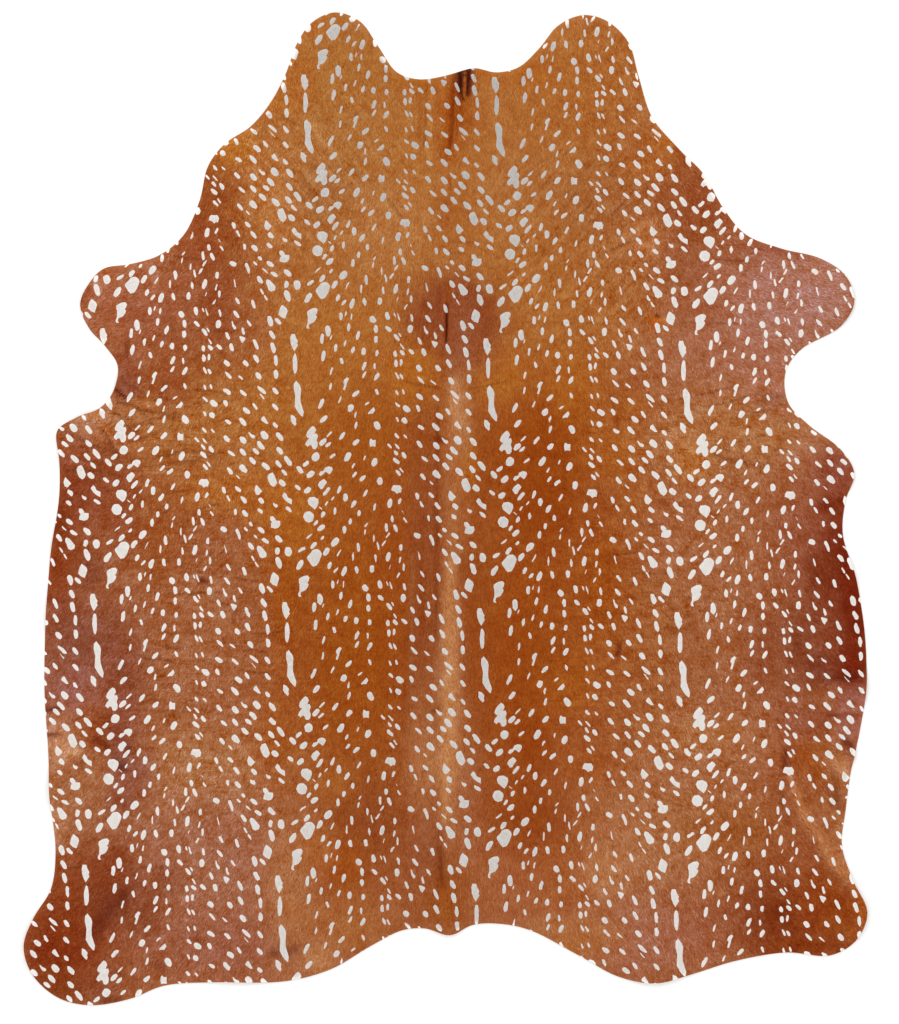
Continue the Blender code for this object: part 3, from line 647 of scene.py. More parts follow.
figures = {
    "leaf with a tail": [
        (389.5, 48), (395, 44), (401, 41), (408.5, 40), (412.5, 44.5), (410.5, 52), (407.5, 56.5),
        (411, 58), (409.5, 64), (404.5, 71.5), (399, 74.5), (395, 75.5), (393.5, 81.5), (396, 86),
        (390.5, 86), (388.5, 81.5), (391.5, 73), (391.5, 60), (389.5, 55),
    ],
    "loaf": [
        (334, 35), (344.5, 42.5), (347, 48), (345, 55), (342, 65.5), (333.5, 62.5), (327, 56.5),
        (328, 50.5), (330, 42),
    ],
    "upright": [
        (356.5, 99), (364.5, 99), (367, 107), (371.5, 114), (370, 119), (372, 123), (367.5, 131),
        (364.5, 136), (360, 129), (356, 119.5), (354.5, 107),
    ],
    "hooked dash": [(225, 73.5), (228, 75), (230, 81), (236, 87.5), (235, 92), (231, 92), (227, 85)],
    "kite": [(243, 107.5), (246.5, 106.5), (256, 109.5), (257, 113), (251, 122), (247, 117.5)],
    "comma": [
        (63, 190.5), (67.5, 193), (64, 200), (62, 209), (59, 218.5), (55, 217.5), (58, 206.5), (55, 202),
        (57, 195.5),
    ],
    "wedge": [(122.5, 254), (126, 260), (121.5, 268), (115.5, 268), (110.5, 269.5), (111, 266)],
    "square": [
        (116.5, 324), (119, 322), (122.5, 325.5), (129, 325), (129, 339.5), (123.5, 338.5), (117.5, 340),
        (115.5, 332),
    ],
    "bent bar": [
        (371, 201), (379.5, 211), (382, 218.5), (381, 236), (382, 247), (386, 259), (389.5, 268.5),
        (388, 279), (384.5, 277.5), (377, 269.5), (369.5, 257), (370, 233), (366, 218), (366, 207),
    ],
    "triangle": [(303.5, 280), (307.5, 286), (314, 296.5), (308, 296.5), (297, 289), (298.5, 283.5)],
    "slab": [
        (361.5, 275.5), (368, 277.5), (374, 284), (373, 290.5), (374.5, 295), (372, 299.5), (365.5, 294),
        (361.5, 288),
    ],
    "drop": [
        (270, 316), (273, 316.5), (277.5, 320.5), (283.5, 322.5), (286, 326), (283.5, 329.5), (279, 329),
        (274.5, 324.5),
    ],
    "cluster": [
        (409.5, 298.5), (414.5, 301), (417.5, 307), (414, 316), (419.5, 314.5), (422, 320.5), (419.5, 329),
        (422, 335.5), (421.5, 344.5), (417, 349), (411.5, 348), (408.5, 340.5), (404.5, 340), (400.5, 344),
        (395, 339.5), (396.5, 334), (403.5, 324.5), (399, 324), (396, 319), (398.5, 311.5), (403, 305),
    ],
    "cap": [
        (21, 388.5), (28.5, 385), (36, 386.5), (38, 391.5), (34.5, 399), (31, 402.5), (26, 398.5),
        (22.5, 396.5), (19, 401.5), (12.5, 406.5), (8, 403.5), (11.5, 397), (18.5, 395),
    ],
    "cobble": [
        (19, 412.5), (23.5, 415.5), (26.5, 420), (21, 427.5), (18, 434), (13, 435), (7, 426.5),
        (10, 419.5),
    ],
    "brow": [
        (170, 421.5), (177.5, 422), (184, 421.5), (188.5, 428.5), (186.5, 437.5), (181, 437.5),
        (178, 440.5), (172.5, 435), (165.5, 433.5), (167, 426.5),
    ],
    "shield": [
        (407, 453.5), (417.5, 452), (426.5, 456.5), (428, 463.5), (424.5, 473), (420, 479.5),
        (413.5, 474.5), (406, 468.5), (403.5, 460.5),
    ],
    "pebble": [
        (401, 484.5), (409.5, 483.5), (417.5, 489.5), (418.5, 495), (415.5, 505), (407, 508),
        (399.5, 504.5), (395, 496.5), (397, 489),
    ],
    "potato": [
        (259, 386), (265, 389.5), (271.5, 400), (268.5, 405.5), (259, 402), (253, 396), (253.5, 390),
    ],
    "egg": [
        (326, 402), (329.5, 407), (333.5, 416), (336.5, 423.5), (333.5, 430), (329, 433.5), (322.5, 429.5),
        (318, 421.5), (315, 412.5), (318, 405.5),
    ],
    "tooth": [
        (291.5, 430), (299, 437.5), (305, 443.5), (297, 452.5), (291, 450.5), (288, 442), (289.5, 434.5),
    ],
    "sausage": [
        (353, 444.5), (357.5, 448.5), (361, 455.5), (370, 459), (370, 470.5), (362, 466.5), (354.5, 461),
        (348, 452),
    ],
    "tadpole": [
        (329, 467), (332.5, 469.5), (338, 471), (340.5, 474), (337.5, 478.5), (333.5, 477), (330, 473.5),
    ],
    "key": [
        (324, 497.5), (330, 497), (335.5, 503), (335.5, 506), (345.5, 506.5), (346, 515.5), (342, 521.5),
        (335.5, 523.5), (325, 521), (325.5, 513), (328, 510), (323.5, 504),
    ],
    "banana": [
        (250, 527), (254, 526.5), (258.5, 534.5), (261, 542.5), (260.5, 550), (257, 549), (253.5, 540),
        (249, 531.5),
    ],
    "molar": [
        (299.5, 561.5), (305.5, 563.5), (311, 569), (318.5, 577.5), (317.5, 585), (309, 588.5),
        (303.5, 585.5), (300.5, 577), (297, 569.5), (297, 564),
    ],
    "big blob": [
        (4.5, -17), (11, -17.5), (16.5, -13.5), (19.5, -8), (18, -1.5), (14, 9.5), (9, 18), (1, 20.5),
        (-4, 15.5), (-7.5, 10), (-12, 4), (-12, -0.5), (-4, -9.5), (-1, -14.5),
    ],
}

# Where the corners and half corners of the repeat fall: column, row, across, along
repeatCorners = [
    (0, 0, -246, 1030), (1, 0, 165, 1029), (1.5, 0, 375, 1028), (0, 0.5, -256, 754),
    (1, 0.5, 156, 751), (1.5, 0.5, 365, 747), (-1, 1, -682, 488), (0, 1, -268, 476),
    (1, 1, 148, 466), (2, 1, 571, 460), (-1, 1.5, -693, 202), (0, 1.5, -280, 187),
    (1, 1.5, 140, 178), (2, 1.5, 566, 170), (-1.5, 2, -910, -79), (-1, 2, -704, -87),
    (0, 2, -287, -105), (1, 2, 134, -116), (2, 2, 563, -122), (-1, 2.5, -710, -380),
    (0, 2.5, -293, -400), (1, 2.5, 128, -412), (2, 2.5, 557, -420), (-1, 3, -720, -672),
    (0, 3, -303, -694), (1, 3, 124, -709), (2, 3, 554, -720), (-1, 3.5, -731, -969),
    (0, 3.5, -312, -994), (1, 3.5, 117, -1013), (2, 3.5, 551, -1026),
]


def repeatTerms(column, row):
    row = row - 1.5
    one = np.ones_like(column)
    squares = [column * column, column * row, row * row]
    cubes = [column * column * row, column * row * row, row ** 3, row ** 4]
    return np.stack([one, column, row, *squares, *cubes], -1)


corners = np.array(repeatCorners, float)
stretch = np.linalg.lstsq(repeatTerms(corners[:, 0], corners[:, 1]), corners[:, 2:], rcond=None)[0]


def ontoHide(chart, column, row):
    # from the chart of one repeat to its place on the hide, where the skin is a little stretched
    across = chart[:, 0] / repeat["across"] + column
    down = chart[:, 1] / repeat["down"] + row + 1
    return repeatTerms(across, down) @ stretch


def spotRing(length, width, lean, count, power=0.9):
    turn = np.arange(count) * 2 * math.pi / count
    c, s = np.cos(turn), np.sin(turn)
    a = width / 2 * np.sign(c) * np.abs(c) ** power
    b = length / 2 * np.sign(s) * np.abs(s) ** power
    w = math.radians(lean)
    return np.stack([a * math.cos(w) + b * math.sin(w), b * math.cos(w) - a * math.sin(w)], 1)


def layPrint(ring):
    # every spot that touches the hide, as a closed ring of points
    low, high = ring.min(0) - 12, ring.max(0) + 12
    centres = np.array([row[:2] for row in spots], float)
    laid = []
    for column in repeat["columns"]:
        for row in repeat["rows"]:
            places = ontoHide(centres, column, row)
            for place, (_, _, length, width, lean) in zip(places, spots):
                if np.any(place < low) or np.any(place > high):
                    continue
                count = 8 if length < 13 else 12 if length > 22 else 10
                grain = luck.normal(0, 0.34 if length < 13 else 0.5, (count, 2)).clip(-0.9, 0.9)
                laid.append(place + spotRing(length + 0.5, width + 0.6, lean, count) + grain)
            for points in figures.values():
                placed = ontoHide(np.array(points, float), column, row)
                if np.any(placed.max(0) < low) or np.any(placed.min(0) > high):
                    continue
                laid.append(placed)
    return laid


# The print's screen tone: on the flanks, how much greyer on the back and at the neck, and at the cut edge
printTone = dict(flank=230, back=21, neck=27, backWidth=400, edge=250, edgeWidth=9, warmth=5)


def printColourAt(points, edgeGap):
    # greyer along the back, most of all on the neck, and whitest at the cut edge
    rise = np.clip((points[:, 1] - 200) / 600, 0, 1)
    rise = rise * rise * (3 - 2 * rise)
    onBack = np.exp(-np.abs(points[:, 0] / printTone["backWidth"]) ** 2.6)
    tone = printTone["flank"] - (printTone["back"] + printTone["neck"] * rise) * onBack
    neck = np.exp(-(points[:, 0] / 130) ** 2 - ((points[:, 1] - 930) / 60) ** 2)
    tone += (printTone["edge"] - tone) * np.exp(-(edgeGap / printTone["edgeWidth"]) ** 4) * (1 - 0.9 * neck)
    shown = np.stack([tone + printTone["warmth"], tone, tone - printTone["warmth"]], 1) / 255
    return (((shown + 0.055) / 1.055) ** 2.4 - sheen) / printLight


# Colours of the coat, named by where they lie: across, along, half width, half height, lean,
# screen colour and strength. Each one is laid softly over those before it.
coatBase = (159, 94, 58)
coatPatches = [
    ("neck and shoulders", -30, 710, 435, 355, 0, (169, 108, 50), 0.8),
    ("left ear", -265, 950, 155, 160, 0, (166, 108, 50), 0.7),
    ("right ear", 310, 950, 145, 155, 0, (166, 100, 42), 0.7),
    ("left shoulder", -240, 800, 120, 95, 0, (171, 115, 65), 0.6),
    ("left shoulder grey", -260, 690, 75, 55, 0, (158, 104, 64), 0.5),
    ("right shoulder grey", 315, 680, 85, 65, 0, (158, 101, 60), 0.45),
    ("left shoulder rust", -500, 655, 80, 155, -8, (143, 73, 31), 0.85),
    ("left chest rust", -520, 385, 105, 160, 0, (140, 72, 44), 0.75),
    ("left foreleg", -695, 450, 115, 90, 0, (162, 95, 65), 0.7),
    ("left foreleg dark", -640, 410, 50, 65, 0, (149, 83, 55), 0.5),
    ("left armpit", -595, 275, 110, 55, 0, (149, 80, 43), 0.55),
    ("right shoulder rust", 555, 670, 100, 115, 20, (142, 71, 36), 0.85),
    ("right chest rust", 510, 475, 60, 110, 0, (142, 74, 44), 0.5),
    ("right foreleg", 745, 450, 160, 110, -8, (172, 119, 103), 0.85),
    ("right chest mauve", 585, 320, 160, 90, 0, (163, 104, 80), 0.6),
    ("left brisket", -745, 205, 115, 30, 8, (180, 128, 94), 0.7),
    ("right brisket", 800, 150, 85, 30, -25, (176, 119, 94), 0.6),
    ("left ribs ochre", -390, 165, 290, 115, 0, (176, 115, 52), 0.8),
    ("mid ochre", -250, 345, 205, 130, 0, (171, 107, 45), 0.7),
    ("right shoulder ochre", 215, 395, 205, 135, 0, (170, 108, 51), 0.7),
    ("right ribs tan", 595, 165, 160, 80, 0, (178, 120, 69), 0.75),
    ("withers", 18, 398, 82, 88, 0, (140, 73, 41), 1.9),
    ("withers foot", 30, 310, 30, 45, 0, (152, 93, 66), 0.7),
    ("left saddle top", -130, 150, 150, 115, 0, (154, 79, 24), 0.75),
    ("left saddle", -215, -240, 190, 380, 0, (154, 80, 22), 0.95),
    ("left saddle low", -215, -415, 130, 195, 0, (151, 74, 19), 0.5),
    ("right saddle top", 215, 125, 145, 155, 0, (145, 68, 14), 0.95),
    ("right saddle", 215, -240, 190, 410, 0, (151, 74, 17), 0.85),
    ("right saddle inner", 150, -415, 80, 325, 0, (146, 68, 17), 0.6),
    ("left spine band", -50, -200, 50, 410, 0, (138, 70, 36), 0.8),
    ("right spine band", 70, -240, 25, 390, 0, (142, 70, 26), 0.45),
    ("left flank", -550, -220, 185, 355, 0, (156, 94, 59), 0.8),
    ("left flank pale", -520, -565, 150, 80, 0, (178, 122, 78), 0.7),
    ("left belly top", -790, 60, 70, 120, 0, (133, 61, 35), 0.85),
    ("left belly rust", -840, -135, 45, 110, 0, (135, 57, 22), 0.85),
    ("left belly mauve", -780, -285, 95, 90, 0, (134, 74, 57), 0.8),
    ("left belly pink", -810, -395, 65, 50, 0, (152, 94, 85), 0.7),
    ("left pucker rust", -745, -475, 60, 45, 0, (145, 70, 30), 0.8),
    ("left pucker pale", -835, -510, 35, 55, 0, (187, 131, 97), 0.8),
    # painted shade along the wall of the left flank pucker
    ("left pucker wall painted shade", -710, -555, 20, 105, 0, (129, 67, 56), 0.7),
    ("left groin", -780, -630, 75, 75, 0, (168, 110, 73), 0.7),
    ("left hind leg", -790, -860, 135, 145, 0, (135, 59, 23), 0.9),
    ("left hind dark", -720, -830, 50, 70, 20, (112, 42, 14), 0.8),
    ("left hind foot", -840, -965, 75, 80, 0, (127, 46, 8), 0.8),
    ("left rump", -500, -770, 185, 160, 0, (162, 104, 78), 0.8),
    ("left rump edge", -475, -945, 160, 60, 0, (153, 90, 69), 0.7),
    ("left rump tan", -335, -815, 50, 160, 0, (177, 117, 72), 0.6),
    ("right flank", 550, -220, 175, 410, 0, (161, 100, 64), 0.85),
    ("right ribs low", 420, -285, 85, 260, 0, (158, 89, 36), 0.5),
    ("right belly rust", 780, -70, 75, 130, 0, (146, 79, 56), 0.7),
    ("right belly dark", 875, -175, 55, 205, -6, (115, 35, 4), 1.05),
    ("right belly mauve", 815, -240, 40, 100, 0, (132, 64, 40), 0.75),
    ("right belly shade", 760, -305, 40, 100, 0, (117, 52, 34), 0.6),
    ("right belly top", 850, 85, 50, 45, 0, (140, 70, 53), 0.8),
    ("right groin pink", 880, -445, 40, 60, 0, (162, 100, 84), 0.85),
    ("right groin rust", 770, -535, 55, 50, 30, (154, 77, 28), 0.85),
    ("right ridge tan", 840, -630, 35, 145, -14, (166, 103, 62), 0.8),
    ("right groin brown", 735, -610, 50, 75, 0, (145, 74, 38), 0.5),
    ("right hind leg", 670, -815, 175, 115, 0, (143, 70, 34), 0.85),
    ("right hind dark", 720, -880, 80, 65, 0, (119, 46, 15), 0.8),
    ("right hind foot", 860, -850, 80, 100, 0, (144, 66, 19), 0.9),
    ("right rump", 445, -705, 185, 135, 0, (171, 112, 73), 0.8),
    ("right rump edge", 420, -925, 150, 80, 0, (163, 101, 76), 0.7),
    ("right rump inner", 260, -785, 85, 130, 0, (159, 85, 38), 0.6),
    ("tail rust", 0, -825, 60, 80, 0, (147, 77, 25), 0.9),
    ("left tail saddle", -175, -695, 115, 145, 0, (146, 75, 31), 0.8),
    ("left tail side", -215, -900, 85, 60, 0, (169, 104, 55), 0.7),
    ("right tail side", 120, -825, 80, 75, 0, (164, 98, 62), 0.6),
    ("tail mauve", -45, -740, 45, 85, 0, (150, 86, 58), 0.5),
    ("left tail pale", -54, -544, 26, 100, 0, (172, 110, 70), 0.85),
    ("left tail pale top", -43, -415, 24, 60, 0, (158, 94, 54), 0.6),
    ("tail cream", 54, -631, 26, 130, 0, (160, 96, 60), 0.6),
    ("neck edge left", -58, 928, 50, 26, 0, (160, 92, 32), 0.85),
    ("neck edge right", 97, 939, 50, 26, 0, (163, 95, 40), 0.8),
    ("neck rust", 22, 863, 42, 60, 0, (153, 76, 20), 0.8),
    ("neck rust low", 11, 776, 32, 32, 0, (157, 84, 28), 0.75),
    ("neck column", 11, 646, 40, 70, 0, (159, 90, 40), 0.75),
    ("saddle top left", -65, 300, 48, 61, 0, (171, 101, 35), 0.85),
    ("saddle top right", 119, 289, 56, 56, 0, (171, 102, 40), 0.85),
    ("right shoulder gold", 281, 267, 61, 76, 0, (168, 97, 33), 0.7),
    ("right ribs gold", 368, 127, 61, 61, 0, (166, 95, 36), 0.75),
    ("right saddle rust", 206, 100, 65, 90, 0, (146, 68, 22), 0.6),
    ("right saddle rust low", 206, -3, 61, 60, 0, (141, 64, 18), 0.75),
    ("right rust column", 336, -155, 54, 130, 0, (153, 76, 20), 0.85),
    ("right rust ribs", 422, 18, 54, 54, 0, (158, 87, 36), 0.75),
    ("left ribs gold", -465, 40, 130, 48, 0, (170, 101, 42), 0.8),
    ("left ribs gold low", -336, -25, 76, 87, 0, (168, 96, 32), 0.8),
    ("left rust column", -346, -198, 36, 119, 0, (153, 76, 20), 0.85),
    ("left rust column low", -368, -501, 42, 90, 0, (155, 81, 28), 0.8),
    ("left grey ribs", -520, -285, 80, 130, 0, (164, 103, 68), 0.75),
    ("left dark column", -699, 18, 34, 100, 0, (140, 68, 39), 0.8),
    ("left rust ribs", -617, -68, 48, 110, 0, (149, 77, 33), 0.8),
    ("left slate column", -693, -393, 42, 100, 0, (138, 73, 52), 0.85),
    ("left slate column low", -671, -566, 38, 60, 0, (143, 82, 63), 0.85),
    ("left belly slate", -764, -133, 28, 36, 0, (128, 62, 38), 0.85),
    ("left shoulder pale", -379, 679, 52, 100, 0, (180, 118, 66), 0.8),
    ("left shoulder mauve", -487, 430, 32, 65, 0, (145, 76, 44), 0.7),
    ("left armpit dark", -595, 267, 38, 50, 0, (146, 72, 37), 0.8),
    ("left chest mauve", -433, 386, 54, 54, 0, (156, 92, 56), 0.7),
    ("left shoulder rim", -541, 592, 42, 54, 0, (146, 72, 38), 0.7),
    ("left ear olive", -465, 787, 54, 42, 0, (178, 108, 40), 0.8),
    ("right shoulder pale", 433, 592, 34, 42, 0, (180, 117, 73), 0.8),
    ("right neck mauve", 162, 711, 90, 70, 0, (167, 107, 60), 0.6),
    ("left neck mauve", -130, 614, 90, 80, 0, (174, 116, 67), 0.75),
    ("right chest dark", 574, 430, 38, 36, 0, (153, 85, 52), 0.75),
    ("right armpit mauve", 714, 267, 56, 50, 0, (168, 107, 82), 0.75),
    ("right groin shade", 693, -306, 50, 100, 0, (142, 75, 46), 0.8),
    ("right belly slate", 812, -345, 32, 32, 0, (122, 59, 40), 0.85),
    ("right edge dark", 877, -339, 34, 42, 0, (114, 33, 8), 0.9),
    ("right groin slate", 801, -458, 32, 32, 0, (140, 70, 42), 0.85),
    ("right ribs pale", 552, -490, 90, 38, 0, (173, 113, 71), 0.8),
    ("right rump pale", 346, -783, 46, 52, 0, (180, 122, 81), 0.85),
    ("right rump dark", 184, -664, 80, 80, 0, (142, 66, 22), 0.85),
    ("right hip brown", 595, -685, 90, 58, 0, (157, 91, 46), 0.75),
    ("right foot rim", 769, -945, 90, 24, 0, (129, 52, 12), 0.85),
    ("tail slate", -162, -674, 56, 65, 0, (141, 72, 36), 0.75),
    ("left rump gold", -223, -772, 42, 58, 0, (156, 77, 22), 0.8),
    ("left rump pale edge", -271, -977, 30, 32, 0, (182, 124, 80), 0.9),
    ("left hind shade", -650, -869, 32, 46, 0, (132, 65, 36), 0.85),
    ("left hind rust", -725, -783, 50, 45, 0, (136, 63, 30), 0.75),
    ("left groin pale edge", -844, -685, 32, 46, 0, (177, 119, 82), 0.85),
    ("left rump shade", -606, -804, 32, 42, 0, (143, 77, 48), 0.85),
    ("right pale edge", 877, -772, 28, 46, 0, (172, 108, 68), 0.85),
    ("right tail pale", 227, -902, 46, 32, 0, (172, 112, 73), 0.85),
    ("right belly inner", 812, -133, 32, 46, 0, (120, 50, 25), 0.85),
    ("left edge rust", -838, -25, 26, 56, 0, (125, 53, 23), 0.85),
    ("left armpit slate", -693, 311, 32, 45, 0, (146, 78, 52), 0.8),
    ("left armpit slate low", -693, 267, 36, 28, 0, (143, 79, 57), 0.8),
    ("left brisket cream", -758, 181, 42, 28, 0, (177, 119, 85), 0.85),
    ("left brisket rust", -688, 155, 24, 20, 0, (151, 78, 36), 0.85),
    ("left hip slate", -704, -631, 32, 32, 0, (141, 76, 51), 0.85),
    ("left toe slate", -747, -1032, 42, 32, 0, (139, 73, 47), 0.8),
    ("left toe rust", -834, -1032, 44, 40, 0, (131, 58, 23), 0.8),
    ("right hip rust", 639, -707, 88, 36, 0, (152, 84, 41), 0.7),
    ("right hind rust", 812, -848, 44, 44, 0, (137, 58, 20), 0.75),
    ("right toe pale", 909, -858, 20, 56, 0, (166, 93, 43), 0.85),
    ("right knee pale", 866, -729, 24, 44, 0, (174, 112, 71), 0.85),
    ("right groin mauve", 747, -458, 32, 56, 0, (151, 87, 62), 0.75),
    ("right rump straw", 314, -923, 66, 44, 0, (171, 109, 64), 0.75),
    ("right rump straw low", 249, -956, 44, 30, 0, (168, 100, 46), 0.75),
    ("right tail rust", 314, -555, 56, 40, 0, (156, 82, 33), 0.8),
    ("right saddle low rust", 184, -501, 34, 56, 0, (145, 66, 20), 0.8),
    ("right saddle pale", 271, -371, 56, 56, 0, (160, 86, 28), 0.75),
    ("spine blue", 32, -90, 18, 32, 0, (146, 78, 36), 0.85),
    ("spine gold high", 50, 94, 18, 56, 0, (164, 92, 32), 0.8),
    ("spine mauve", 37, 192, 18, 56, 0, (175, 120, 77), 0.8),
    ("withers grey right", 76, 343, 36, 44, 0, (149, 84, 50), 0.7),
    ("left saddle rust", -119, -68, 36, 130, 0, (151, 74, 24), 0.7),
    ("left saddle rust low", -130, -285, 32, 110, 0, (148, 71, 20), 0.75),
    ("left tail straw", -249, -588, 42, 38, 0, (163, 96, 44), 0.8),
    ("left tail straw low", -281, -729, 42, 44, 0, (169, 101, 53), 0.8),
    ("right chest olive", 401, 224, 44, 32, 0, (159, 88, 34), 0.8),
    ("right chest straw", 530, 105, 46, 46, 0, (177, 113, 59), 0.8),
    ("right chest rust spot", 563, -25, 24, 32, 0, (156, 89, 44), 0.8),
    ("right ribs grey", 476, -68, 46, 90, 0, (163, 101, 65), 0.75),
    ("right arm rim", 704, 570, 46, 20, 0, (148, 82, 58), 0.8),
    ("right arm mauve", 704, 495, 28, 32, 0, (167, 108, 88), 0.7),
    ("right neck rim", 433, 744, 56, 24, 0, (170, 101, 47), 0.75),
    ("right neck rim high", 476, 798, 32, 32, 0, (170, 98, 38), 0.8),
    ("left neck rim", -368, 874, 56, 32, 0, (167, 97, 39), 0.8),
    ("left neck rim high", -314, 939, 28, 46, 0, (168, 97, 41), 0.75),
    ("left ear dark", -281, 1047, 28, 24, 0, (168, 99, 43), 0.7),
    ("neck edge far right", 195, 939, 46, 28, 0, (165, 94, 34), 0.75),
    ("right ear pale", 249, 1025, 44, 36, 0, (172, 111, 57), 0.6),
    ("left shoulder dark", -487, 408, 24, 44, 0, (143, 74, 39), 0.7),
    ("tail spine pale", 22, -371, 20, 90, 0, (174, 116, 74), 0.7),
    ("tail spine mauve", -11, -328, 16, 90, 0, (161, 102, 67), 0.6),
    ("tail spine low", -11, -544, 40, 46, 0, (176, 118, 75), 0.7),
]

# the pale line down the back, with its strength at each point
spineStripe = dict(
    line=[
        (36, 318), (22, 250), (24, 150), (14, 60), (16, -40), (14, -160),
        (12, -290), (8, -420), (6, -560), (2, -700), (0, -790),
    ],
    halfWidth=20,
    colour=(186, 128, 84),
    strengths=(0.75, 0.7, 0.4, 0.3, 0.3, 0.45, 0.85, 0.95, 0.9, 0.5, 0.3),
)
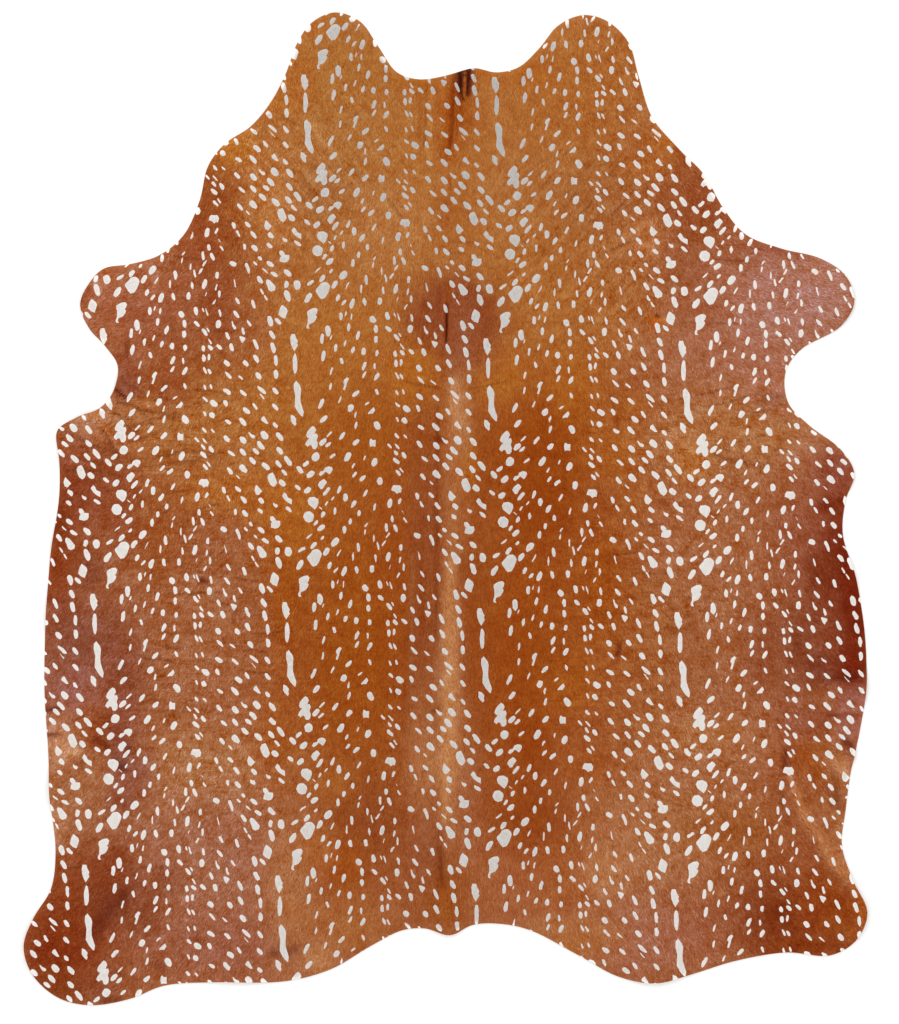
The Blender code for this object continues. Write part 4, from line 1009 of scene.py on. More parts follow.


# Streaks, stains and specks, with some painted shade and highlight by the folds: name, start, end, bow,
# half width at the start and at the end, screen colour and strength
marks = [
    ("neck stain left", (31, 944), (34, 890), 0, 11.5, 8, (54, 3, 0), 1.0),
    ("neck stain right", (50, 954), (48, 900), 0, 11, 8, (66, 6, 2), 1.0),
    ("neck split", (41, 945), (41, 895), 0, 1.5, 2.4, (176, 98, 36), 0.85),
    ("neck rust edge", (16, 937), (21, 903), 0, 5.4, 5.4, (120, 44, 10), 0.7),
    ("neck rust band", (14, 905), (3, 765), 0, 14, 12, (150, 72, 18), 0.55),
    ("neck umber", (14, 908), (6, 770), 4, 5.2, 5.2, (124, 50, 10), 0.8),
    ("neck umber 2", (24, 886), (22, 800), 2, 2.6, 2.2, (136, 60, 14), 0.6),
    ("neck umber 3", (6, 860), (3, 780), 0, 2.6, 2.2, (150, 74, 24), 0.5),
    ("neck rust streak", (31, 894), (34, 838), 0, 4.8, 3.9, (140, 58, 12), 0.7),
    ("neck mauve streak 1", (-53, 920), (-55, 803), 0, 4.8, 3.9, (152, 84, 34), 0.6),
    ("neck mauve streak 2", (-40, 920), (-42, 825), 0, 5.2, 3.5, (148, 78, 28), 0.6),
    ("neck dark drop", (-42, 814), (-47, 788), 0, 5.2, 4.3, (132, 66, 26), 0.65),
    ("neck pale streak 1", (-31, 907), (-34, 777), 0, 6.5, 5.2, (178, 114, 56), 0.5),
    ("neck pale streak 2", (-10, 920), (-8, 803), 0, 7.4, 5.6, (170, 102, 44), 0.4),
    ("neck pale drop", (-40, 782), (-34, 751), 0, 5.2, 4.3, (184, 124, 68), 0.6),
    ("neck pale streak 3", (96, 907), (103, 821), 0, 10.8, 6.5, (178, 116, 64), 0.4),
    ("neck side streak", (-12, 782), (-10, 764), 0, 4.3, 3.5, (152, 82, 32), 0.5),
    ("neck rust drops", (8, 717), (10, 686), 0, 4.3, 3.9, (150, 80, 34), 0.5),
    ("neck mauve blot 1", (-1, 658), (1, 617), 0, 10.8, 8.7, (152, 80, 34), 0.5),
    ("neck mauve blot 2", (44, 652), (60, 621), 0, 8.7, 8.7, (148, 78, 34), 0.5),
    ("withers gold", (8, 491), (5, 452), 0, 6.5, 4.3, (146, 70, 20), 0.8),
    ("withers umber", (3, 446), (1, 362), 0, 3.9, 3.5, (98, 30, 8), 0.85),
    ("withers grey", (36, 427), (44, 331), 0, 19.5, 17.3, (150, 90, 62), 0.6),
    ("withers grey left", (-12, 474), (-16, 409), 0, 6.5, 6.5, (132, 62, 34), 0.5),
    ("withers pale foot", (21, 271), (25, 214), 0, 13.0, 13.0, (182, 128, 86), 0.7),
    ("withers dark left", (-47, 442), (-42, 355), 2, 13.0, 10.8, (134, 62, 28), 0.5),
    ("withers dark right", (101, 452), (83, 355), -2, 13.0, 10.8, (138, 66, 32), 0.55),
    ("shoulder gold spot", (447, 414), (454, 392), 0, 9.5, 7.8, (176, 88, 20), 0.9),
    ("shoulder gold tip", (456, 409), (473, 409), 0, 7.4, 3.9, (194, 112, 44), 0.8),
    ("shoulder gold speck", (454, 420), (458, 418), 0, 4.8, 4.3, (92, 24, 8), 0.9),
    ("left ribs speck", (-527, -152), (-521, -154), 0, 8.7, 7.8, (96, 30, 14), 0.95),
    ("left ribs glint", (-544, -141), (-542, -143), 0, 3.9, 3.9, (190, 140, 108), 0.6),
    ("right ribs speck", (376, -292), (371, -314), 0, 6.1, 6.5, (112, 44, 18), 0.95),
    ("right ribs smear", (369, -327), (352, -344), 0, 6.5, 5.2, (142, 66, 24), 0.5),
    ("right ribs pale smear", (360, -305), (343, -336), 0, 6.5, 5.2, (172, 102, 48), 0.5),
    ("right chest blot", (371, 197), (371, 175), 0, 5.6, 4.3, (130, 58, 22), 0.7),
    ("right chest stain", (404, 292), (410, 279), 0, 8.7, 6.5, (140, 66, 26), 0.6),
    ("spine blot", (-16, 154), (-5, 149), 0, 7.4, 6.5, (108, 40, 10), 0.85),
    ("left rump blue", (-371, -959), (-324, -953), 0, 13.0, 10.8, (124, 68, 44), 0.8),
    ("left hind grey 1", (-709, -825), (-666, -812), 0, 15.2, 13.0, (122, 56, 30), 0.5),
    ("left hind grey 2", (-765, -920), (-696, -838), 4, 19.5, 15.2, (104, 42, 24), 0.75),
    ("left toe blue", (-739, -1063), (-709, -1061), 0, 8.7, 8.7, (112, 50, 34), 0.65),
    ("left toe rust", (-672, -1011), (-674, -1041), 0, 10.8, 8.7, (136, 62, 28), 0.5),
    ("right hind grey", (720, -872), (733, -864), 0, 17.3, 15.2, (112, 42, 14), 0.7),
    ("right hind ochre", (562, -829), (599, -831), 0, 8.7, 7.8, (168, 104, 62), 0.5),
    ("right edge gold", (876, -812), (897, -872), 4, 7.4, 7.4, (162, 84, 30), 0.6),
    ("right edge pale", (876, -911), (889, -942), 0, 8.7, 8.7, (160, 82, 28), 0.5),
    ("right groin rust", (767, -526), (815, -591), 6, 19.5, 17.3, (154, 76, 26), 0.65),
    ("right groin cream", (850, -548), (867, -569), 0, 15.2, 13.0, (194, 136, 94), 0.7),
    # painted shadow on both sides of the right hind ridge
    ("right groin slate", (824, -600), (850, -643), 4, 13.0, 10.8, (136, 72, 42), 0.6),
    ("right ridge painted shadow", (737, -526), (733, -565), 0, 10.8, 10.8, (124, 58, 34), 0.65),
    ("right edge rust", (824, -444), (893, -446), 0, 8.7, 8.7, (146, 74, 44), 0.6),
    # painted shade in the tuck at the right edge
    ("right edge tuck painted shade", (863, -504), (880, -522), 0, 8.7, 8.7, (118, 50, 28), 0.75),
    ("right ridge cream", (744, -578), (761, -621), -2, 6.5, 7.4, (184, 124, 86), 0.75),
    # painted highlight along the lit crest of the right hind ridge
    ("right ridge painted highlight", (757, -610), (862, -790), -8, 11, 17, (180, 116, 72), 0.85),
    ("right brisket rust", (811, 6), (858, 17), 0, 13.0, 13.0, (114, 36, 8), 0.8),
    ("right foreleg gold", (793, 522), (806, 509), 0, 10.8, 10.8, (176, 108, 72), 0.6),
    ("right foreleg rust", (865, 414), (878, 435), 0, 7.4, 7.4, (158, 86, 58), 0.6),
    ("right foreleg rim", (707, 563), (780, 543), 0, 7.8, 6.9, (136, 66, 40), 0.6),
    ("right elbow rust", (638, 513), (642, 452), 0, 8.7, 8.7, (162, 100, 74), 0.4),
    ("right cheek umber", (499, 777), (521, 751), 0, 10.8, 8.7, (136, 58, 18), 0.65),
    ("left foreleg rim", (-783, 461), (-791, 448), 0, 7.4, 7.4, (130, 52, 22), 0.75),
    ("left foreleg slate", (-778, 487), (-770, 470), 0, 10.8, 8.7, (138, 66, 38), 0.6),
    ("left foreleg cream", (-755, 491), (-750, 474), 0, 8.7, 8.7, (190, 136, 104), 0.55),
    ("left foreleg gold", (-739, 513), (-722, 504), 0, 8.7, 8.7, (176, 106, 62), 0.6),
    ("left foreleg rust", (-722, 427), (-696, 401), 0, 17.3, 15.2, (150, 74, 38), 0.55),
    ("left elbow rust", (-618, 491), (-583, 478), 0, 13.0, 13.0, (152, 78, 42), 0.5),
    ("left elbow pale", (-640, 522), (-627, 478), 0, 10.8, 10.8, (178, 118, 88), 0.5),
    ("left armpit gold", (-761, 210), (-752, 201), 0, 8.7, 8.7, (178, 114, 64), 0.6),
    ("left brisket cream", (-742, 184), (-709, 132), 2, 3.9, 3.9, (184, 118, 74), 0.55),
    ("left brisket gold", (-835, 134), (-722, 102), -4, 6.5, 4.8, (156, 82, 44), 0.6),
    ("left brisket slate", (-722, 136), (-703, 97), 0, 7.4, 7.8, (122, 54, 30), 0.6),
    ("left brisket pale", (-830, 106), (-765, 97), 0, 6.5, 6.5, (164, 98, 70), 0.6),
    ("left brisket straw", (-683, 136), (-622, 123), 0, 10.8, 8.7, (168, 100, 52), 0.45),
    ("left armpit straw", (-674, 227), (-618, 227), 0, 8.7, 8.7, (182, 120, 72), 0.6),
    ("left groin cream", (-835, -517), (-800, -526), 0, 17.3, 15.2, (196, 140, 98), 0.75),
    ("left groin rust", (-796, -543), (-783, -561), 0, 10.8, 8.7, (150, 82, 38), 0.6),
    ("left pucker gold", (-783, -427), (-757, -444), 4, 10.8, 8.7, (148, 76, 40), 0.6),
    ("left pucker rust", (-752, -500), (-731, -522), 0, 10.8, 10.8, (122, 46, 14), 0.75),
    # painted shadow and shade under the wall of the left flank pucker
    ("left pucker painted shadow", (-713, -548), (-696, -559), 0, 10.8, 10.0, (96, 42, 34), 0.8),
    ("left pucker painted shade", (-700, -496), (-687, -522), 0, 10.0, 8.7, (120, 56, 38), 0.65),
    # painted shade in the tuck and the slit at the left edge
    ("left edge umber", (-865, -435), (-835, -433), 0, 8.7, 7.4, (122, 54, 34), 0.65),
    ("left edge umber 2", (-863, -491), (-839, -487), 0, 6.5, 5.2, (132, 66, 40), 0.65),
    ("left belly rust stripe", (-865, -197), (-830, -197), 0, 6.5, 6.5, (128, 54, 26), 0.6),
    ("left belly pale", (-865, -219), (-839, -214), 0, 10.0, 8.7, (154, 92, 70), 0.6),
    ("left shoulder straw", (-475, 652), (-419, 595), 2, 7.8, 8.7, (168, 98, 46), 0.5),
    ("left elbow cream", (-493, 585), (-486, 576), 0, 6.5, 6.5, (176, 108, 66), 0.45),
    ("left rump olive 1", (-553, -907), (-536, -933), 0, 13.0, 13.0, (136, 72, 44), 0.5),
    ("left rump olive 2", (-622, -981), (-609, -994), 0, 10.8, 10.8, (122, 56, 30), 0.6),
    ("left rump rust", (-475, -890), (-462, -903), 0, 10.8, 10.8, (148, 80, 50), 0.5),
    ("left rump gold", (-341, -853), (-328, -872), 0, 8.7, 8.7, (178, 110, 60), 0.5),
    ("left ribs rust 1", (-484, -284), (-458, -301), 0, 13.0, 10.8, (148, 78, 40), 0.5),
    ("left ribs rust 2", (-557, -262), (-544, -279), 0, 10.8, 8.7, (146, 80, 44), 0.5),
    ("left ribs rust 3", (-544, -223), (-529, -236), 0, 8.7, 8.7, (148, 80, 44), 0.5),
    ("right ribs blot", (464, 15), (473, 13), 0, 7.8, 6.9, (136, 62, 26), 0.65),
    ("right ribs rust", (516, -271), (534, -253), 0, 19.5, 15.2, (148, 80, 40), 0.5),
    ("tail blot", (-111, -507), (-107, -509), 0, 6.5, 5.6, (130, 60, 28), 0.6),
    ("spine rust left", (-90, -110), (-94, -414), 2, 7.8, 7.8, (146, 68, 18), 0.5),
    ("spine blue left", (-70, -102), (-75, -414), 0, 4.8, 5.6, (152, 90, 52), 0.6),
    ("spine rust mid", (-53, -110), (-51, -251), 0, 5.6, 5.2, (134, 58, 16), 0.5),
    ("spine grey mid", (-34, 63), (-34, -327), 0, 8.7, 8.7, (144, 78, 42), 0.5),
    ("spine dark left", (-18, 236), (-21, -284), 0, 6.9, 6.5, (132, 64, 30), 0.5),
    ("spine line far", (-55, 271), (-55, 84), 0, 3.9, 3.5, (140, 68, 24), 0.5),
    ("spine dark right", (36, -110), (40, -414), 0, 8.7, 10.0, (142, 70, 34), 0.5),
    ("spine rust right", (57, -110), (53, -392), 0, 10.8, 10.8, (142, 68, 24), 0.4),
    ("spine cream 1", (10, -110), (5, -284), 0, 10.8, 10.8, (192, 134, 84), 0.5),
    ("spine cream 2", (5, -414), (14, -489), 0, 8.7, 8.7, (190, 134, 86), 0.45),
    ("spine gold", (16, 84), (16, -67), 0, 7.8, 8.7, (160, 96, 46), 0.45),
    ("tail shade", (-14, -704), (-10, -812), 0, 14, 12, (122, 50, 14), 0.45),
    ("tail rust left", (-90, -608), (-94, -738), 0, 7.4, 7.4, (142, 70, 32), 0.45),
    ("tail grey", (49, -565), (44, -717), 0, 17.3, 17.3, (162, 100, 66), 0.4),
    ("tail straw", (3, -500), (-3, -673), 0, 7.4, 7.4, (186, 126, 72), 0.45),
    ("tail gold", (-3, -836), (3, -885), 0, 10.8, 13.0, (158, 84, 30), 0.45),
]


def blendIn(colours, share, colour):
    return colours + (np.array(paint(colour, coatLight)) - colours) * np.clip(share, 0, 1)[:, None]


def coatColourAt(points):
    colours = np.tile(np.array(paint(coatBase, coatLight)), (len(points), 1))
    for name, across, along, halfWidth, halfHeight, lean, colour, strength in coatPatches:
        offset = points - (across, along)
        w = math.radians(lean)
        side = offset[:, 0] * math.cos(w) - offset[:, 1] * math.sin(w)
        rise = offset[:, 0] * math.sin(w) + offset[:, 1] * math.cos(w)
        reach = (side / halfWidth) ** 2 + (rise / halfHeight) ** 2
        colours = blendIn(colours, strength * np.exp(-0.7 * reach ** 1.3), colour)
    line = np.array(spineStripe["line"], float)
    gap, place = nearLine(points, line)
    ends = np.clip(place / 0.12, 0, 1) * np.clip((1 - place) / 0.2, 0, 1)
    strength = np.interp(-points[:, 1], -line[:, 1], spineStripe["strengths"])
    share = np.exp(-(gap / spineStripe["halfWidth"]) ** 2) * ends * strength
    colours = blendIn(colours, share, spineStripe["colour"])
    for name, start, end, bow, halfWidth, endWidth, colour, strength in marks:
        near, share, place = strokeShare(points, start, end, bow, halfWidth * 1.7, endWidth * 1.7)
        colours[near] = blendIn(colours[near], share * strength, colour)
    # painted shade in the creases, more rust than grey, and painted highlight where a crease's shade is
    # negative
    return colours * (1 - creasesAt(points)[1][:, None] * crease["hue"]).clip(0.05)


# The hide as one closed sheet

def evenField(low, high, pitch):
    rows = np.arange(low[1], high[1], pitch * math.sqrt(3) / 2)
    field = []
    for k, y in enumerate(rows):
        x = np.arange(low[0] + (pitch / 2 if k % 2 else 0), high[0], pitch)
        field.append(np.stack([x, np.full(len(x), y)], 1))
    return np.vstack(field)


def alongLines(table, pitch, sides):
    rows = []
    for start, end, bow, halfWidth, endWidth in table:
        line = foldLine(start, end, bow, max(2, round(math.dist(start, end) / pitch)))
        ahead = np.gradient(line, axis=0)
        ahead /= np.linalg.norm(ahead, axis=1, keepdims=True)
        across = np.stack([-ahead[:, 1], ahead[:, 0]], 1)
        width = np.linspace(halfWidth, endWidth, len(line))[:, None]
        for side in sides:
            rows.append(line + across * width * side)
    return np.vstack(rows)


def strokesOf(table, sides):
    # points on and beside every crease or mark of a table
    return alongLines([row[1:6] for row in table], skin["strokePitch"], sides)


def thinOut(kept, points, apart):
    # points that keep their distance from those kept, by a grid of cells
    cells = {}
    for p in kept:
        cells.setdefault((int(p[0] // apart), int(p[1] // apart)), []).append(p)
    added = []
    for p in points:
        cx, cy = int(p[0] // apart), int(p[1] // apart)
        clear = True
        for dx in (-1, 0, 1):
            for dy in (-1, 0, 1):
                for q in cells.get((cx + dx, cy + dy), ()):
                    if (p[0] - q[0]) ** 2 + (p[1] - q[1]) ** 2 < apart * apart:
                        clear = False
        if clear:
            cells.setdefault((cx, cy), []).append(p)
            added.append(p)
    return added


def anticlockwise(ring):
    x, y = ring[:, 0], ring[:, 1]
    return x @ np.roll(y, -1) > y @ np.roll(x, -1)


def triangulate(points, rings):
    # Blender's constrained Delaunay triangulation, with the rings that each triangle lies in
    loops = []
    start = 0
    for ring in rings:
        loop = list(range(start, start + len(ring)))
        loops.append(loop if anticlockwise(ring) else loop[::-1])
        start += len(ring)
    flat = geometry.delaunay_2d_cdt([Vector(p) for p in points], [], loops, 1, 1e-4, True)
    places = np.array([tuple(v) for v in flat[0]])
    return places, flat[2], flat[5], flat[3]


def makeHide(rim, laid):
    rings = [rim]
    for width, _ in skin["rimRings"]:
        rings.append(insetRing(rim, width))
    innermost = rings[-1]
    low, high = rim.min(0), rim.max(0)

    # hair side: the rim, the outlines of the print, and a field of points between them
    apart = skin["apart"]
    kept = list(np.vstack([rim] + laid))
    kept += thinOut(kept, [p for ring in rings[1:] for p in ring], apart["rim"])
    left, right = skin["spineMiddle"] - skin["spineHalfWidth"], skin["spineMiddle"] + skin["spineHalfWidth"]
    for part, points in (
        ("crease", strokesOf(creases, (0, -0.7, 0.7, -1.4, 1.4))),
        ("mark", strokesOf(marks, (0, -0.7, 0.7, -1.5, 1.5))),
        ("spine", evenField((left, low[1]), (right, high[1]), skin["spinePitch"])),
        ("sheet", evenField(low, high, skin["sheetPitch"])),
    ):
        kept += thinOut(kept, points[insideRing(points, innermost)], apart[part])
    places, triangles, owners, _ = triangulate(kept, [rim] + laid)
    triangles = [(t, o) for t, o in zip(triangles, owners) if 0 in o]
    print("hair side:", len(places), "points,", len(triangles), "triangles,", len(laid), "spots")
    height = surfaceAt(places, distanceToRing(places, rim))

    bm = bmesh.new()
    used = sorted({i for t, o in triangles for i in t})
    verts = {i: bm.verts.new((places[i][0] * mm, places[i][1] * mm, height[i] * mm)) for i in used}
    for triangle, owner in triangles:
        face = bm.faces.new([verts[i] for i in triangle])
        face.material_index = 1 if len(owner) > 1 else 0
        face.smooth = True
    bm.verts.index_update()
    rimEdges = [e for e in bm.edges if e.is_boundary]
    skirt = bmesh.ops.extrude_edge_only(bm, edges=rimEdges)
    foot = [item for item in skirt["geom"] if isinstance(item, bmesh.types.BMVert)]
    footPlaces = np.array([v.co.xy for v in foot]) / mm
    for vert, lift in zip(foot, liftAt(footPlaces)):
        vert.co.z = lift * mm
    for item in skirt["geom"]:
        if isinstance(item, bmesh.types.BMFace):
            item.material_index = 2

    # flesh side: a coarser sheet on the same foot ring
    loop = ringOrder(foot)
    footRing = np.array([v.co.xy for v in loop]) / mm
    kept = list(footRing)
    sides = (0, -0.25, 0.25, -0.5, 0.5, -0.75, 0.75, -1, 1)
    for points, pitch in (
        (alongLines([row[2:7] for row in folds], skin["foldPitch"], sides), skin["foldPitch"]),
        (evenField(low, high, skin["undersidePitch"]), skin["undersidePitch"]),
    ):
        kept += thinOut(kept, points[insideRing(points, innermost)], pitch * 0.6)
    places, triangles, owners, origins = triangulate(kept, [footRing])
    triangles = [t for t, o in zip(triangles, owners) if 0 in o]
    lift = liftAt(places)
    under = []
    for i, place in enumerate(places):
        source = [k for k in origins[i] if k < len(loop)]
        if source:
            under.append(loop[source[0]])
        else:
            under.append(bm.verts.new((place[0] * mm, place[1] * mm, lift[i] * mm)))
    for triangle in triangles:
        face = bm.faces.new([under[i] for i in reversed(triangle)])
        face.material_index = 2
        face.smooth = True
    bmesh.ops.recalc_face_normals(bm, faces=bm.faces)
    mesh = bpy.data.meshes.new("cowhide")
    bm.to_mesh(mesh)
    bm.free()
    piece = bpy.data.objects.new("cowhide", mesh)
    bpy.context.scene.collection.objects.link(piece)
    print("hide:", len(mesh.polygons), "triangles")
    return piece


def distanceToRing(points, ring):
    result = np.full(len(points), 1e9)
    cell = 40.0
    order = np.lexsort((points[:, 1] // cell, points[:, 0] // cell))
    keys = np.stack([points[order, 0] // cell, points[order, 1] // cell], 1)
    cuts = np.flatnonzero(np.any(np.diff(keys, axis=0) != 0, axis=1)) + 1
    ends = np.roll(ring, -1, 0)
    for group in np.split(order, cuts):
        middle = (np.floor(points[group[0]] / cell) + 0.5) * cell
        near = np.flatnonzero(np.linalg.norm(ring - middle, axis=1) < cell + 20)
        for k in near:
            side = ends[k] - ring[k]
            share = np.clip(((points[group] - ring[k]) @ side) / (side @ side), 0, 1)
            gap = np.linalg.norm(points[group] - ring[k] - share[:, None] * side, axis=1)
            result[group] = np.minimum(result[group], gap)
    return result


def ringOrder(verts):
    # the skirt's lower points in order round the hide
    chosen = set(verts)
    ordered = [verts[0]]
    previous = None
    while True:
        here = ordered[-1]
        following = None
        for edge in here.link_edges:
            other = edge.other_vert(here)
            if other in chosen and other is not previous and edge.is_boundary:
                following = other
                if previous is None:
                    break
        previous = here
        if following is None or following is ordered[0]:
            return ordered
        ordered.append(following)


# Where fine wrinkles lie, with their painted light and shade: across, along, half width, half height and
# strength
wrinkleZones = [
    ("left ribs", -520, -190, 210, 330, 0.9),
    ("left brisket", -590, 170, 230, 75, 1.1),
    ("left belly", -700, -420, 130, 110, 0.6),
    ("right ribs", 500, -160, 230, 300, 0.8),
    ("right brisket", 560, 170, 240, 80, 1.0),
    ("right groin", 600, -560, 200, 120, 0.7),
    ("left rump", -480, -640, 200, 120, 0.7),
    ("left saddle", -250, -260, 130, 330, 0.45),
    ("right saddle", 250, -260, 130, 330, 0.45),
    ("chest", 20, 330, 640, 90, 0.4),
]
fanZones = [
    ("left shoulder", -330, 690, 170, 170, 0.9),
    ("left neck", -200, 800, 130, 150, 0.6),
    ("right shoulder", 310, 650, 190, 210, -1.0),
    ("right chest", 330, 450, 200, 110, -0.6),
]


def zonesAt(points, zones):
    total = np.zeros(len(points))
    for name, across, along, halfWidth, halfHeight, strength in zones:
        reach = ((points[:, 0] - across) / halfWidth) ** 2 + ((points[:, 1] - along) / halfHeight) ** 2
        total += strength * np.exp(-0.7 * reach ** 1.3)
    return np.clip(total, -1.2, 1.2)


def flankShare(points):
    # 0 on the back to 1 on the flanks
    return np.clip((np.abs(points[:, 0]) - 220) / 260, 0, 1)


def layGrain(mesh, points):
    # how uneven the coat is, and where it is wrinkled across and fanned out from the neck, which places the
    # painted light and shade of the fine wrinkles
    values = dict(
        uneven=0.7 + 0.45 * flankShare(points),
        wrinkled=zonesAt(points, wrinkleZones),
        fanned=zonesAt(points, fanZones),
    )
    for name, value in values.items():
        layer = mesh.attributes.new(name, "FLOAT", "POINT")
        layer.data.foreach_set("value", value)


def paintHide(piece, rim):
    mesh = piece.data
    count = len(mesh.vertices)
    flat = np.empty(count * 3)
    mesh.vertices.foreach_get("co", flat)
    points = flat.reshape(-1, 3)[:, :2] / mm
    printed = printColourAt(points, distanceToRing(points, rim))
    for name, values in (("coatColour", coatColourAt(points)), ("printTone", printed)):
        colours = np.ones((count, 4))
        colours[:, :3] = values
        layer = mesh.attributes.new(name, "FLOAT_COLOR", "POINT")
        layer.data.foreach_set("color", colours.ravel())
    layGrain(mesh, points)


# The short pile: narrow blades that lie tailwards and outwards over the coat, on 1 mm squares that
# say where the print is, so that no blade crosses its edge
pile = dict(
    pitch=3.28,
    pieces=3,
    lengths=(4.5, 8.5),
    widths=(1.5, 0.5),
    lifts=(0.6, 1.6),
    sunk=0.3,
    rimGap=2.0,
    lean=0.16,
    toneSpread=0.45,
    toneLimit=0.8,
    backTone=0.74,
    flankTone=0.36,
    coatHue=(0.45, 1.0, 1.7),  # how much of a blade's tone each colour takes
    printHue=(0.08, 0.08, 0.08),
    waves=((150, 0.6, 0.14), (87, 2.1, 0.12), (52, 3.9, 0.1), (31, 5.2, 0.08)),  # length, heading and swing
)


def fillRing(squares, corner, ring):
    # marks the squares whose middle lies in the ring, row by row
    first = max(0, math.ceil(ring[:, 1].min() - corner[1] - 0.5))
    last = min(len(squares) - 1, math.floor(ring[:, 1].max() - corner[1] - 0.5))
    ends = np.roll(ring, -1, 0)
    for row in range(first, last + 1):
        y = corner[1] + row + 0.5
        cut = np.flatnonzero((ring[:, 1] > y) != (ends[:, 1] > y))
        share = (y - ring[cut, 1]) / (ends[cut, 1] - ring[cut, 1])
        stops = np.sort(ring[cut, 0] + (ends[cut, 0] - ring[cut, 0]) * share) - corner[0] - 0.5
        for a, b in zip(stops[::2], stops[1::2]):
            squares[row, max(0, math.ceil(a)):max(0, math.floor(b) + 1)] = True


def lookUp(squares, corner, points):
    column = np.clip((points[:, 0] - corner[0]).astype(int), 0, squares.shape[1] - 1)
    row = np.clip((points[:, 1] - corner[1]).astype(int), 0, squares.shape[0] - 1)
    return squares[row, column]


def layOfThePile(points):
    # unit vectors: tailwards on the back, outwards on the flanks and out along the forelegs
    x, y = points[:, 0], points[:, 1]
    legs = np.exp(-((np.abs(x) - 800) / 200) ** 2 - ((y - 430) / 150) ** 2)
    angle = np.arctan2(-1, 0.9 * x / 900 + 1.6 * legs * np.sign(x))
    for length, heading, swing in pile["waves"]:
        run = x * math.cos(heading) + y * math.sin(heading)
        angle += swing * np.sin(run * 2 * math.pi / length + heading * 7)
    angle += luck.normal(0, pile["lean"], len(points))
    return np.stack([np.cos(angle), np.sin(angle)], 1)


def growPile(rim, laid):
    low = np.floor(rim.min(0)) - 12
    size = (np.ceil(rim.max(0)) + 12 - low).astype(int)
    skinSquares = np.zeros((size[1], size[0]), bool)
    fillRing(skinSquares, low, rim)
    printSquares = np.zeros_like(skinSquares)
    for ring in laid:
        fillRing(printSquares, low, ring)
    roots = evenField(rim.min(0), rim.max(0), pile["pitch"])
    roots = roots + luck.uniform(-0.45, 0.45, roots.shape) * pile["pitch"]
    roots = roots[lookUp(skinSquares, low, roots)]
    edgeGap = distanceToRing(roots, rim)
    roots, edgeGap = roots[edgeGap > pile["rimGap"]], edgeGap[edgeGap > pile["rimGap"]]
    heading = layOfThePile(roots)
    length = np.minimum(luck.uniform(*pile["lengths"], len(roots)), 1.6 + 0.5 * edgeGap)
    printed = lookUp(printSquares, low, roots)
    for attempt in range(2):
        clear = np.ones(len(roots), bool)
        for share in (0.35, 0.7, 1.0):
            clear &= lookUp(printSquares, low, roots + heading * (length * share)[:, None]) == printed
        if attempt == 0:
            length = np.where(clear, length, length * 0.5)
    roots, edgeGap, heading, length, printed = (a[clear] for a in (roots, edgeGap, heading, length, printed))
    tips = roots + heading * length[:, None]
    across = np.stack([-heading[:, 1], heading[:, 0]], 1)
    rootHeight = surfaceAt(roots, edgeGap) - pile["sunk"]
    lift = luck.uniform(*pile["lifts"], len(roots)) * np.minimum(1, length / 6)
    tipHeight = surfaceAt(tips, distanceToRing(tips, rim)) + lift
    twist = luck.normal(0, 0.22, len(roots))
    corners = np.empty((len(roots), 4, 3))
    for k, (middle, height, width, side) in enumerate((
        (roots, rootHeight, pile["widths"][0], 1),
        (roots, rootHeight, pile["widths"][0], -1),
        (tips, tipHeight, pile["widths"][1], -1),
        (tips, tipHeight, pile["widths"][1], 1),
    )):
        corners[:, k, :2] = middle + across * (side * width / 2)
        corners[:, k, 2] = height + side * width / 2 * twist
    tone = luck.normal(0, pile["toneSpread"], len(roots)).clip(-pile["toneLimit"], pile["toneLimit"])
    tone *= pile["backTone"] + pile["flankTone"] * flankShare(roots)
    colours = np.where(printed[:, None], printColourAt(roots, edgeGap), coatColourAt(roots))
    change = np.where(printed[:, None], pile["printHue"], pile["coatHue"])
    colours = colours * np.exp(tone[:, None] * change - 0.08 * change ** 2)
    return corners, colours, printed


def bladePiece(name, corners, colours, low, span):
    count = len(corners)
    mesh = bpy.data.meshes.new(name)
    mesh.vertices.add(count * 4)
    mesh.vertices.foreach_set("co", (corners * mm).ravel())
    mesh.loops.add(count * 4)
    mesh.loops.foreach_set("vertex_index", np.arange(count * 4))
    mesh.polygons.add(count)
    mesh.polygons.foreach_set("loop_start", np.arange(count) * 4)
    mesh.update(calc_edges=True)
    mesh.validate()
    layer = mesh.attributes.new("coatColour", "FLOAT_COLOR", "POINT")
    full = np.ones((count * 4, 4))
    full[:, :3] = np.repeat(colours, 4, 0)
    layer.data.foreach_set("color", full.ravel())
    layGrain(mesh, corners[:, :, :2].reshape(-1, 2))
    sheet = mesh.uv_layers.new(name="OFBake")
    flat = (corners[:, :, :2].reshape(-1, 2) - low) / span
    sheet.data.foreach_set("uv", flat.ravel())
    piece = bpy.data.objects.new(name, mesh)
    bpy.context.scene.collection.objects.link(piece)
    return piece


hair = dict(
    cloudSize=34,
    cloudChange=1.8,
    wrinkle=(10, 7, 0.0),  # width of a wrinkle in millimetres, how many times longer it is, and its turn
    leftFan=(11, 6, -0.81),
    rightFan=(11, 6, 0.8),
    # how strong the painted light and shade of the wrinkles is, and the widths and depth of their painted
    # dark threads
    wrinkleLightAndShadeChange=0.9,
    wrinkleThread=0.045,
    fanThread=0.04,
    paintedThreadShade=0.45,
    gapSize=27,
    coatHue=(0.4, 1.0, 1.9),  # how much of a change each colour takes
    strandSize=2.2,
    strandStretch=(1, 0.22, 1),
    strandHue=(0.6, 1.0, 1.6),
    bladeGrain=5,
    hideGloss=0.04,
    bladeGloss=0.05,
)


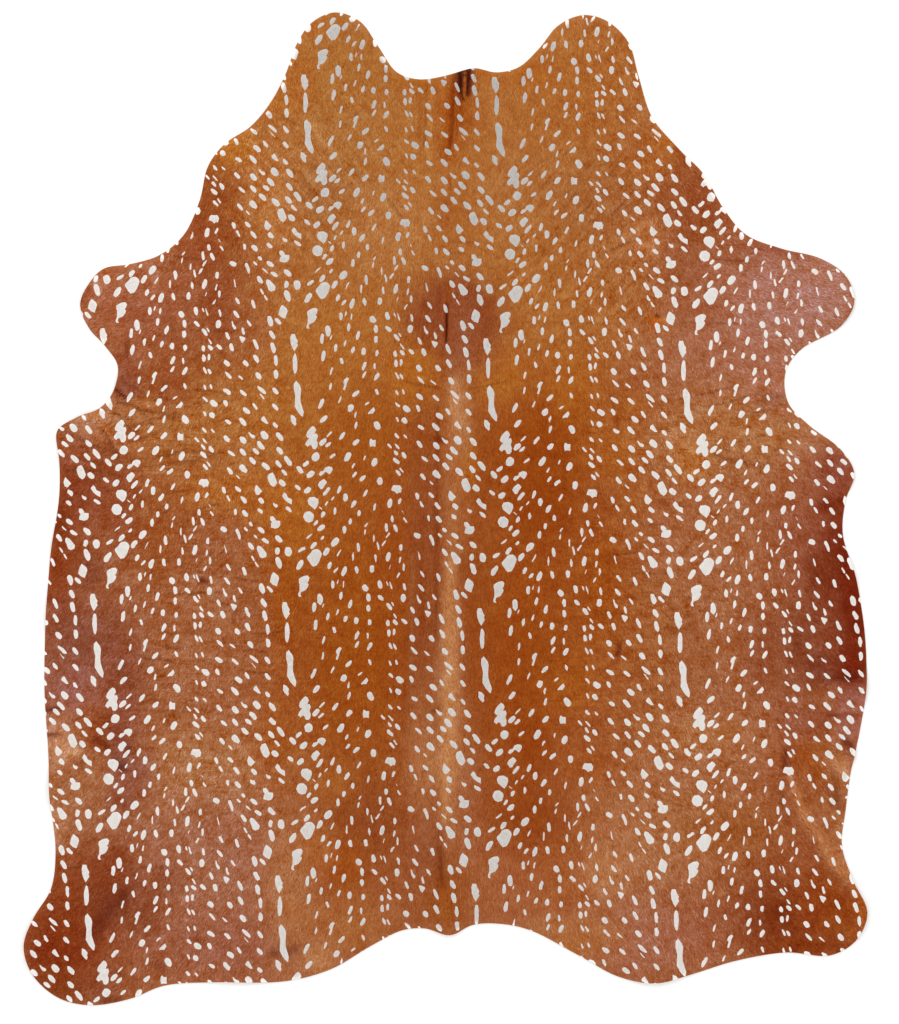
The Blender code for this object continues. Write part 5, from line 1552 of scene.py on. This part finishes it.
def mottled(bench, coat):
    # the coat's unevenness, which is more in its hue than in its light, and the painted light and shade of
    # its fine wrinkles
    cloud = bench.noise(hair["cloudSize"], None, 4.0, 0.85) - 0.5
    wrinkled, fanned = bench.attribute("wrinkled"), bench.attribute("fanned")
    leftShare = fanned.maths("MAXIMUM", fanned)
    rightShare = fanned.maths("MAXIMUM", fanned * -1.0)
    wrinkleLightAndShade, paintedThreads = 0.0, 0.0
    # painted shade: thin dark threads in the wrinkles run where a long mottle crosses its middle
    for (size, length, turn), share, width in (
        (hair["wrinkle"], wrinkled, hair["wrinkleThread"]),
        (hair["leftFan"], leftShare, hair["fanThread"]),
        (hair["rightFan"], rightShare, hair["fanThread"]),
    ):
        mottle = bench.noise(size, bench.stretched(length, turn), 2.0, 0.6) - 0.5
        wrinkleLightAndShade = mottle * share + wrinkleLightAndShade
        paintedThreads = bench.smooth(abs(mottle), 0.0, width, 1.0, 0.0) * share + paintedThreads
    broken = bench.smooth(bench.noise(hair["gapSize"], None, 1.0, 0.5), 0.45, 0.6)
    change = cloud * bench.attribute("uneven") * hair["cloudChange"] + wrinkleLightAndShade * hair["wrinkleLightAndShadeChange"]
    change -= paintedThreads * broken * hair["paintedThreadShade"]
    return bench.tinted(coat, change, hair["coatHue"]), change


def strandsOf(bench):
    return bench.noise(hair["strandSize"], bench.place(hair["strandStretch"]), 3.0, 0.6)


def bumped(bench, height, strength, depth):
    return bench.node("ShaderNodeBump", {}, {"Strength": strength, "Distance": depth * mm, "Height": height})


def hairMaterial():
    bench = Bench("tan coat")
    colour, change = mottled(bench, bench.attribute("coatColour", "Color"))
    strands = strandsOf(bench)
    colour = bench.tinted(colour, bench.smooth(strands, 0.25, 0.75, -0.16, 0.14), hair["strandHue"])
    bump = bumped(bench, strands * 0.5 + change, 0.3, 1.2)
    roughness = bench.smooth(strands, 0.2, 0.8, 0.56, 0.74)
    gloss = hair["hideGloss"]
    return bench.finish(Base_Color=colour, Roughness=roughness, Normal=bump, Specular_IOR_Level=gloss)


def bladeMaterial(name, printed):
    bench = Bench(name)
    colour = bench.attribute("coatColour", "Color")
    grain = bench.noise(hair["bladeGrain"])
    if printed:
        colour = bench.tinted(colour, bench.smooth(grain, 0.25, 0.75, -0.03, 0.02))
    else:
        colour, _ = mottled(bench, colour)
    roughness = bench.smooth(grain, 0.2, 0.8, 0.55, 0.72)
    return bench.finish(Base_Color=colour, Roughness=roughness, Specular_IOR_Level=hair["bladeGloss"])


def printMaterial():
    bench = Bench("off-white print")
    strands = strandsOf(bench)
    shade = bench.smooth(strands, 0.2, 0.8, -0.06, 0.03)
    colour = bench.tinted(bench.attribute("printTone", "Color"), shade)
    bump = bumped(bench, strands, 0.2, 1.0)
    roughness = bench.smooth(strands, 0.2, 0.8, 0.55, 0.7)
    gloss = hair["hideGloss"]
    return bench.finish(Base_Color=colour, Roughness=roughness, Normal=bump, Specular_IOR_Level=gloss)


flesh = dict(dark=(186, 160, 128), light=(212, 192, 164), napSize=1.6, cloudSize=60)


def fleshMaterial():
    bench = Bench("suede flesh side")
    nap = bench.noise(flesh["napSize"], None, 4.0, 0.6)
    cloud = bench.noise(flesh["cloudSize"], None, 3.0, 0.55)
    share = bench.smooth(nap * 0.5 + cloud * 0.5, 0.3, 0.7)
    colour = bench.mixColour(share, (*srgb(flesh["dark"]), 1), (*srgb(flesh["light"]), 1))
    bump = bumped(bench, nap, 0.3, 0.5)
    return bench.finish(Base_Color=colour, Roughness=bench.smooth(nap, 0.2, 0.8, 0.85, 0.97), Normal=bump)


def floorMaterial():
    bench = Bench("pale floor")
    grain = bench.noise(400, None, 2.0, 0.5)
    pale = studio["floor"]
    colour = bench.mixColour(bench.smooth(grain, 0.3, 0.7), (*pale, 1), tuple(c * 0.995 for c in pale) + (1,))
    return bench.finish(Base_Color=colour, Roughness=0.9)


def layFloor():
    bm = bmesh.new()
    bmesh.ops.create_grid(bm, x_segments=1, y_segments=1, size=studio["floorSize"] * mm)
    mesh = bpy.data.meshes.new("floor")
    bm.to_mesh(mesh)
    bm.free()
    floor = bpy.data.objects.new("floor", mesh)
    floor.location.z = -0.0004
    bpy.context.scene.collection.objects.link(floor)
    mesh.materials.append(floorMaterial())


placeCamera()
placeLights()
layFloor()
print("stage set")

rim = throughStations(outline, skin["rimPitch"])
laid = layPrint(rim)
hide = makeHide(rim, laid)
paintHide(hide, rim)
for material in (hairMaterial(), printMaterial(), fleshMaterial()):
    hide.data.materials.append(material)
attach(hide, "root")
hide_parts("hide")
print("hide laid")

corners, colours, printed = growPile(rim, laid)
low, span = rim.min(0) - 12, np.ptp(rim, 0) + 24
brown = bladeMaterial("tan pile", False)
white = bladeMaterial("off-white pile", True)
turns = luck.integers(0, pile["pieces"], len(corners))
shares = [("coatPile" + str(k + 1), ~printed & (turns == k), brown, "hair") for k in range(pile["pieces"])]
shares.append(("printPile", printed, white, "print"))
for name, chosen, material, slot in shares:
    piece = bladePiece(name, corners[chosen], colours[chosen], low, span)
    piece.data.materials.append(material)
    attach(piece, "root")
    print(name, len(piece.data.polygons), "blades")
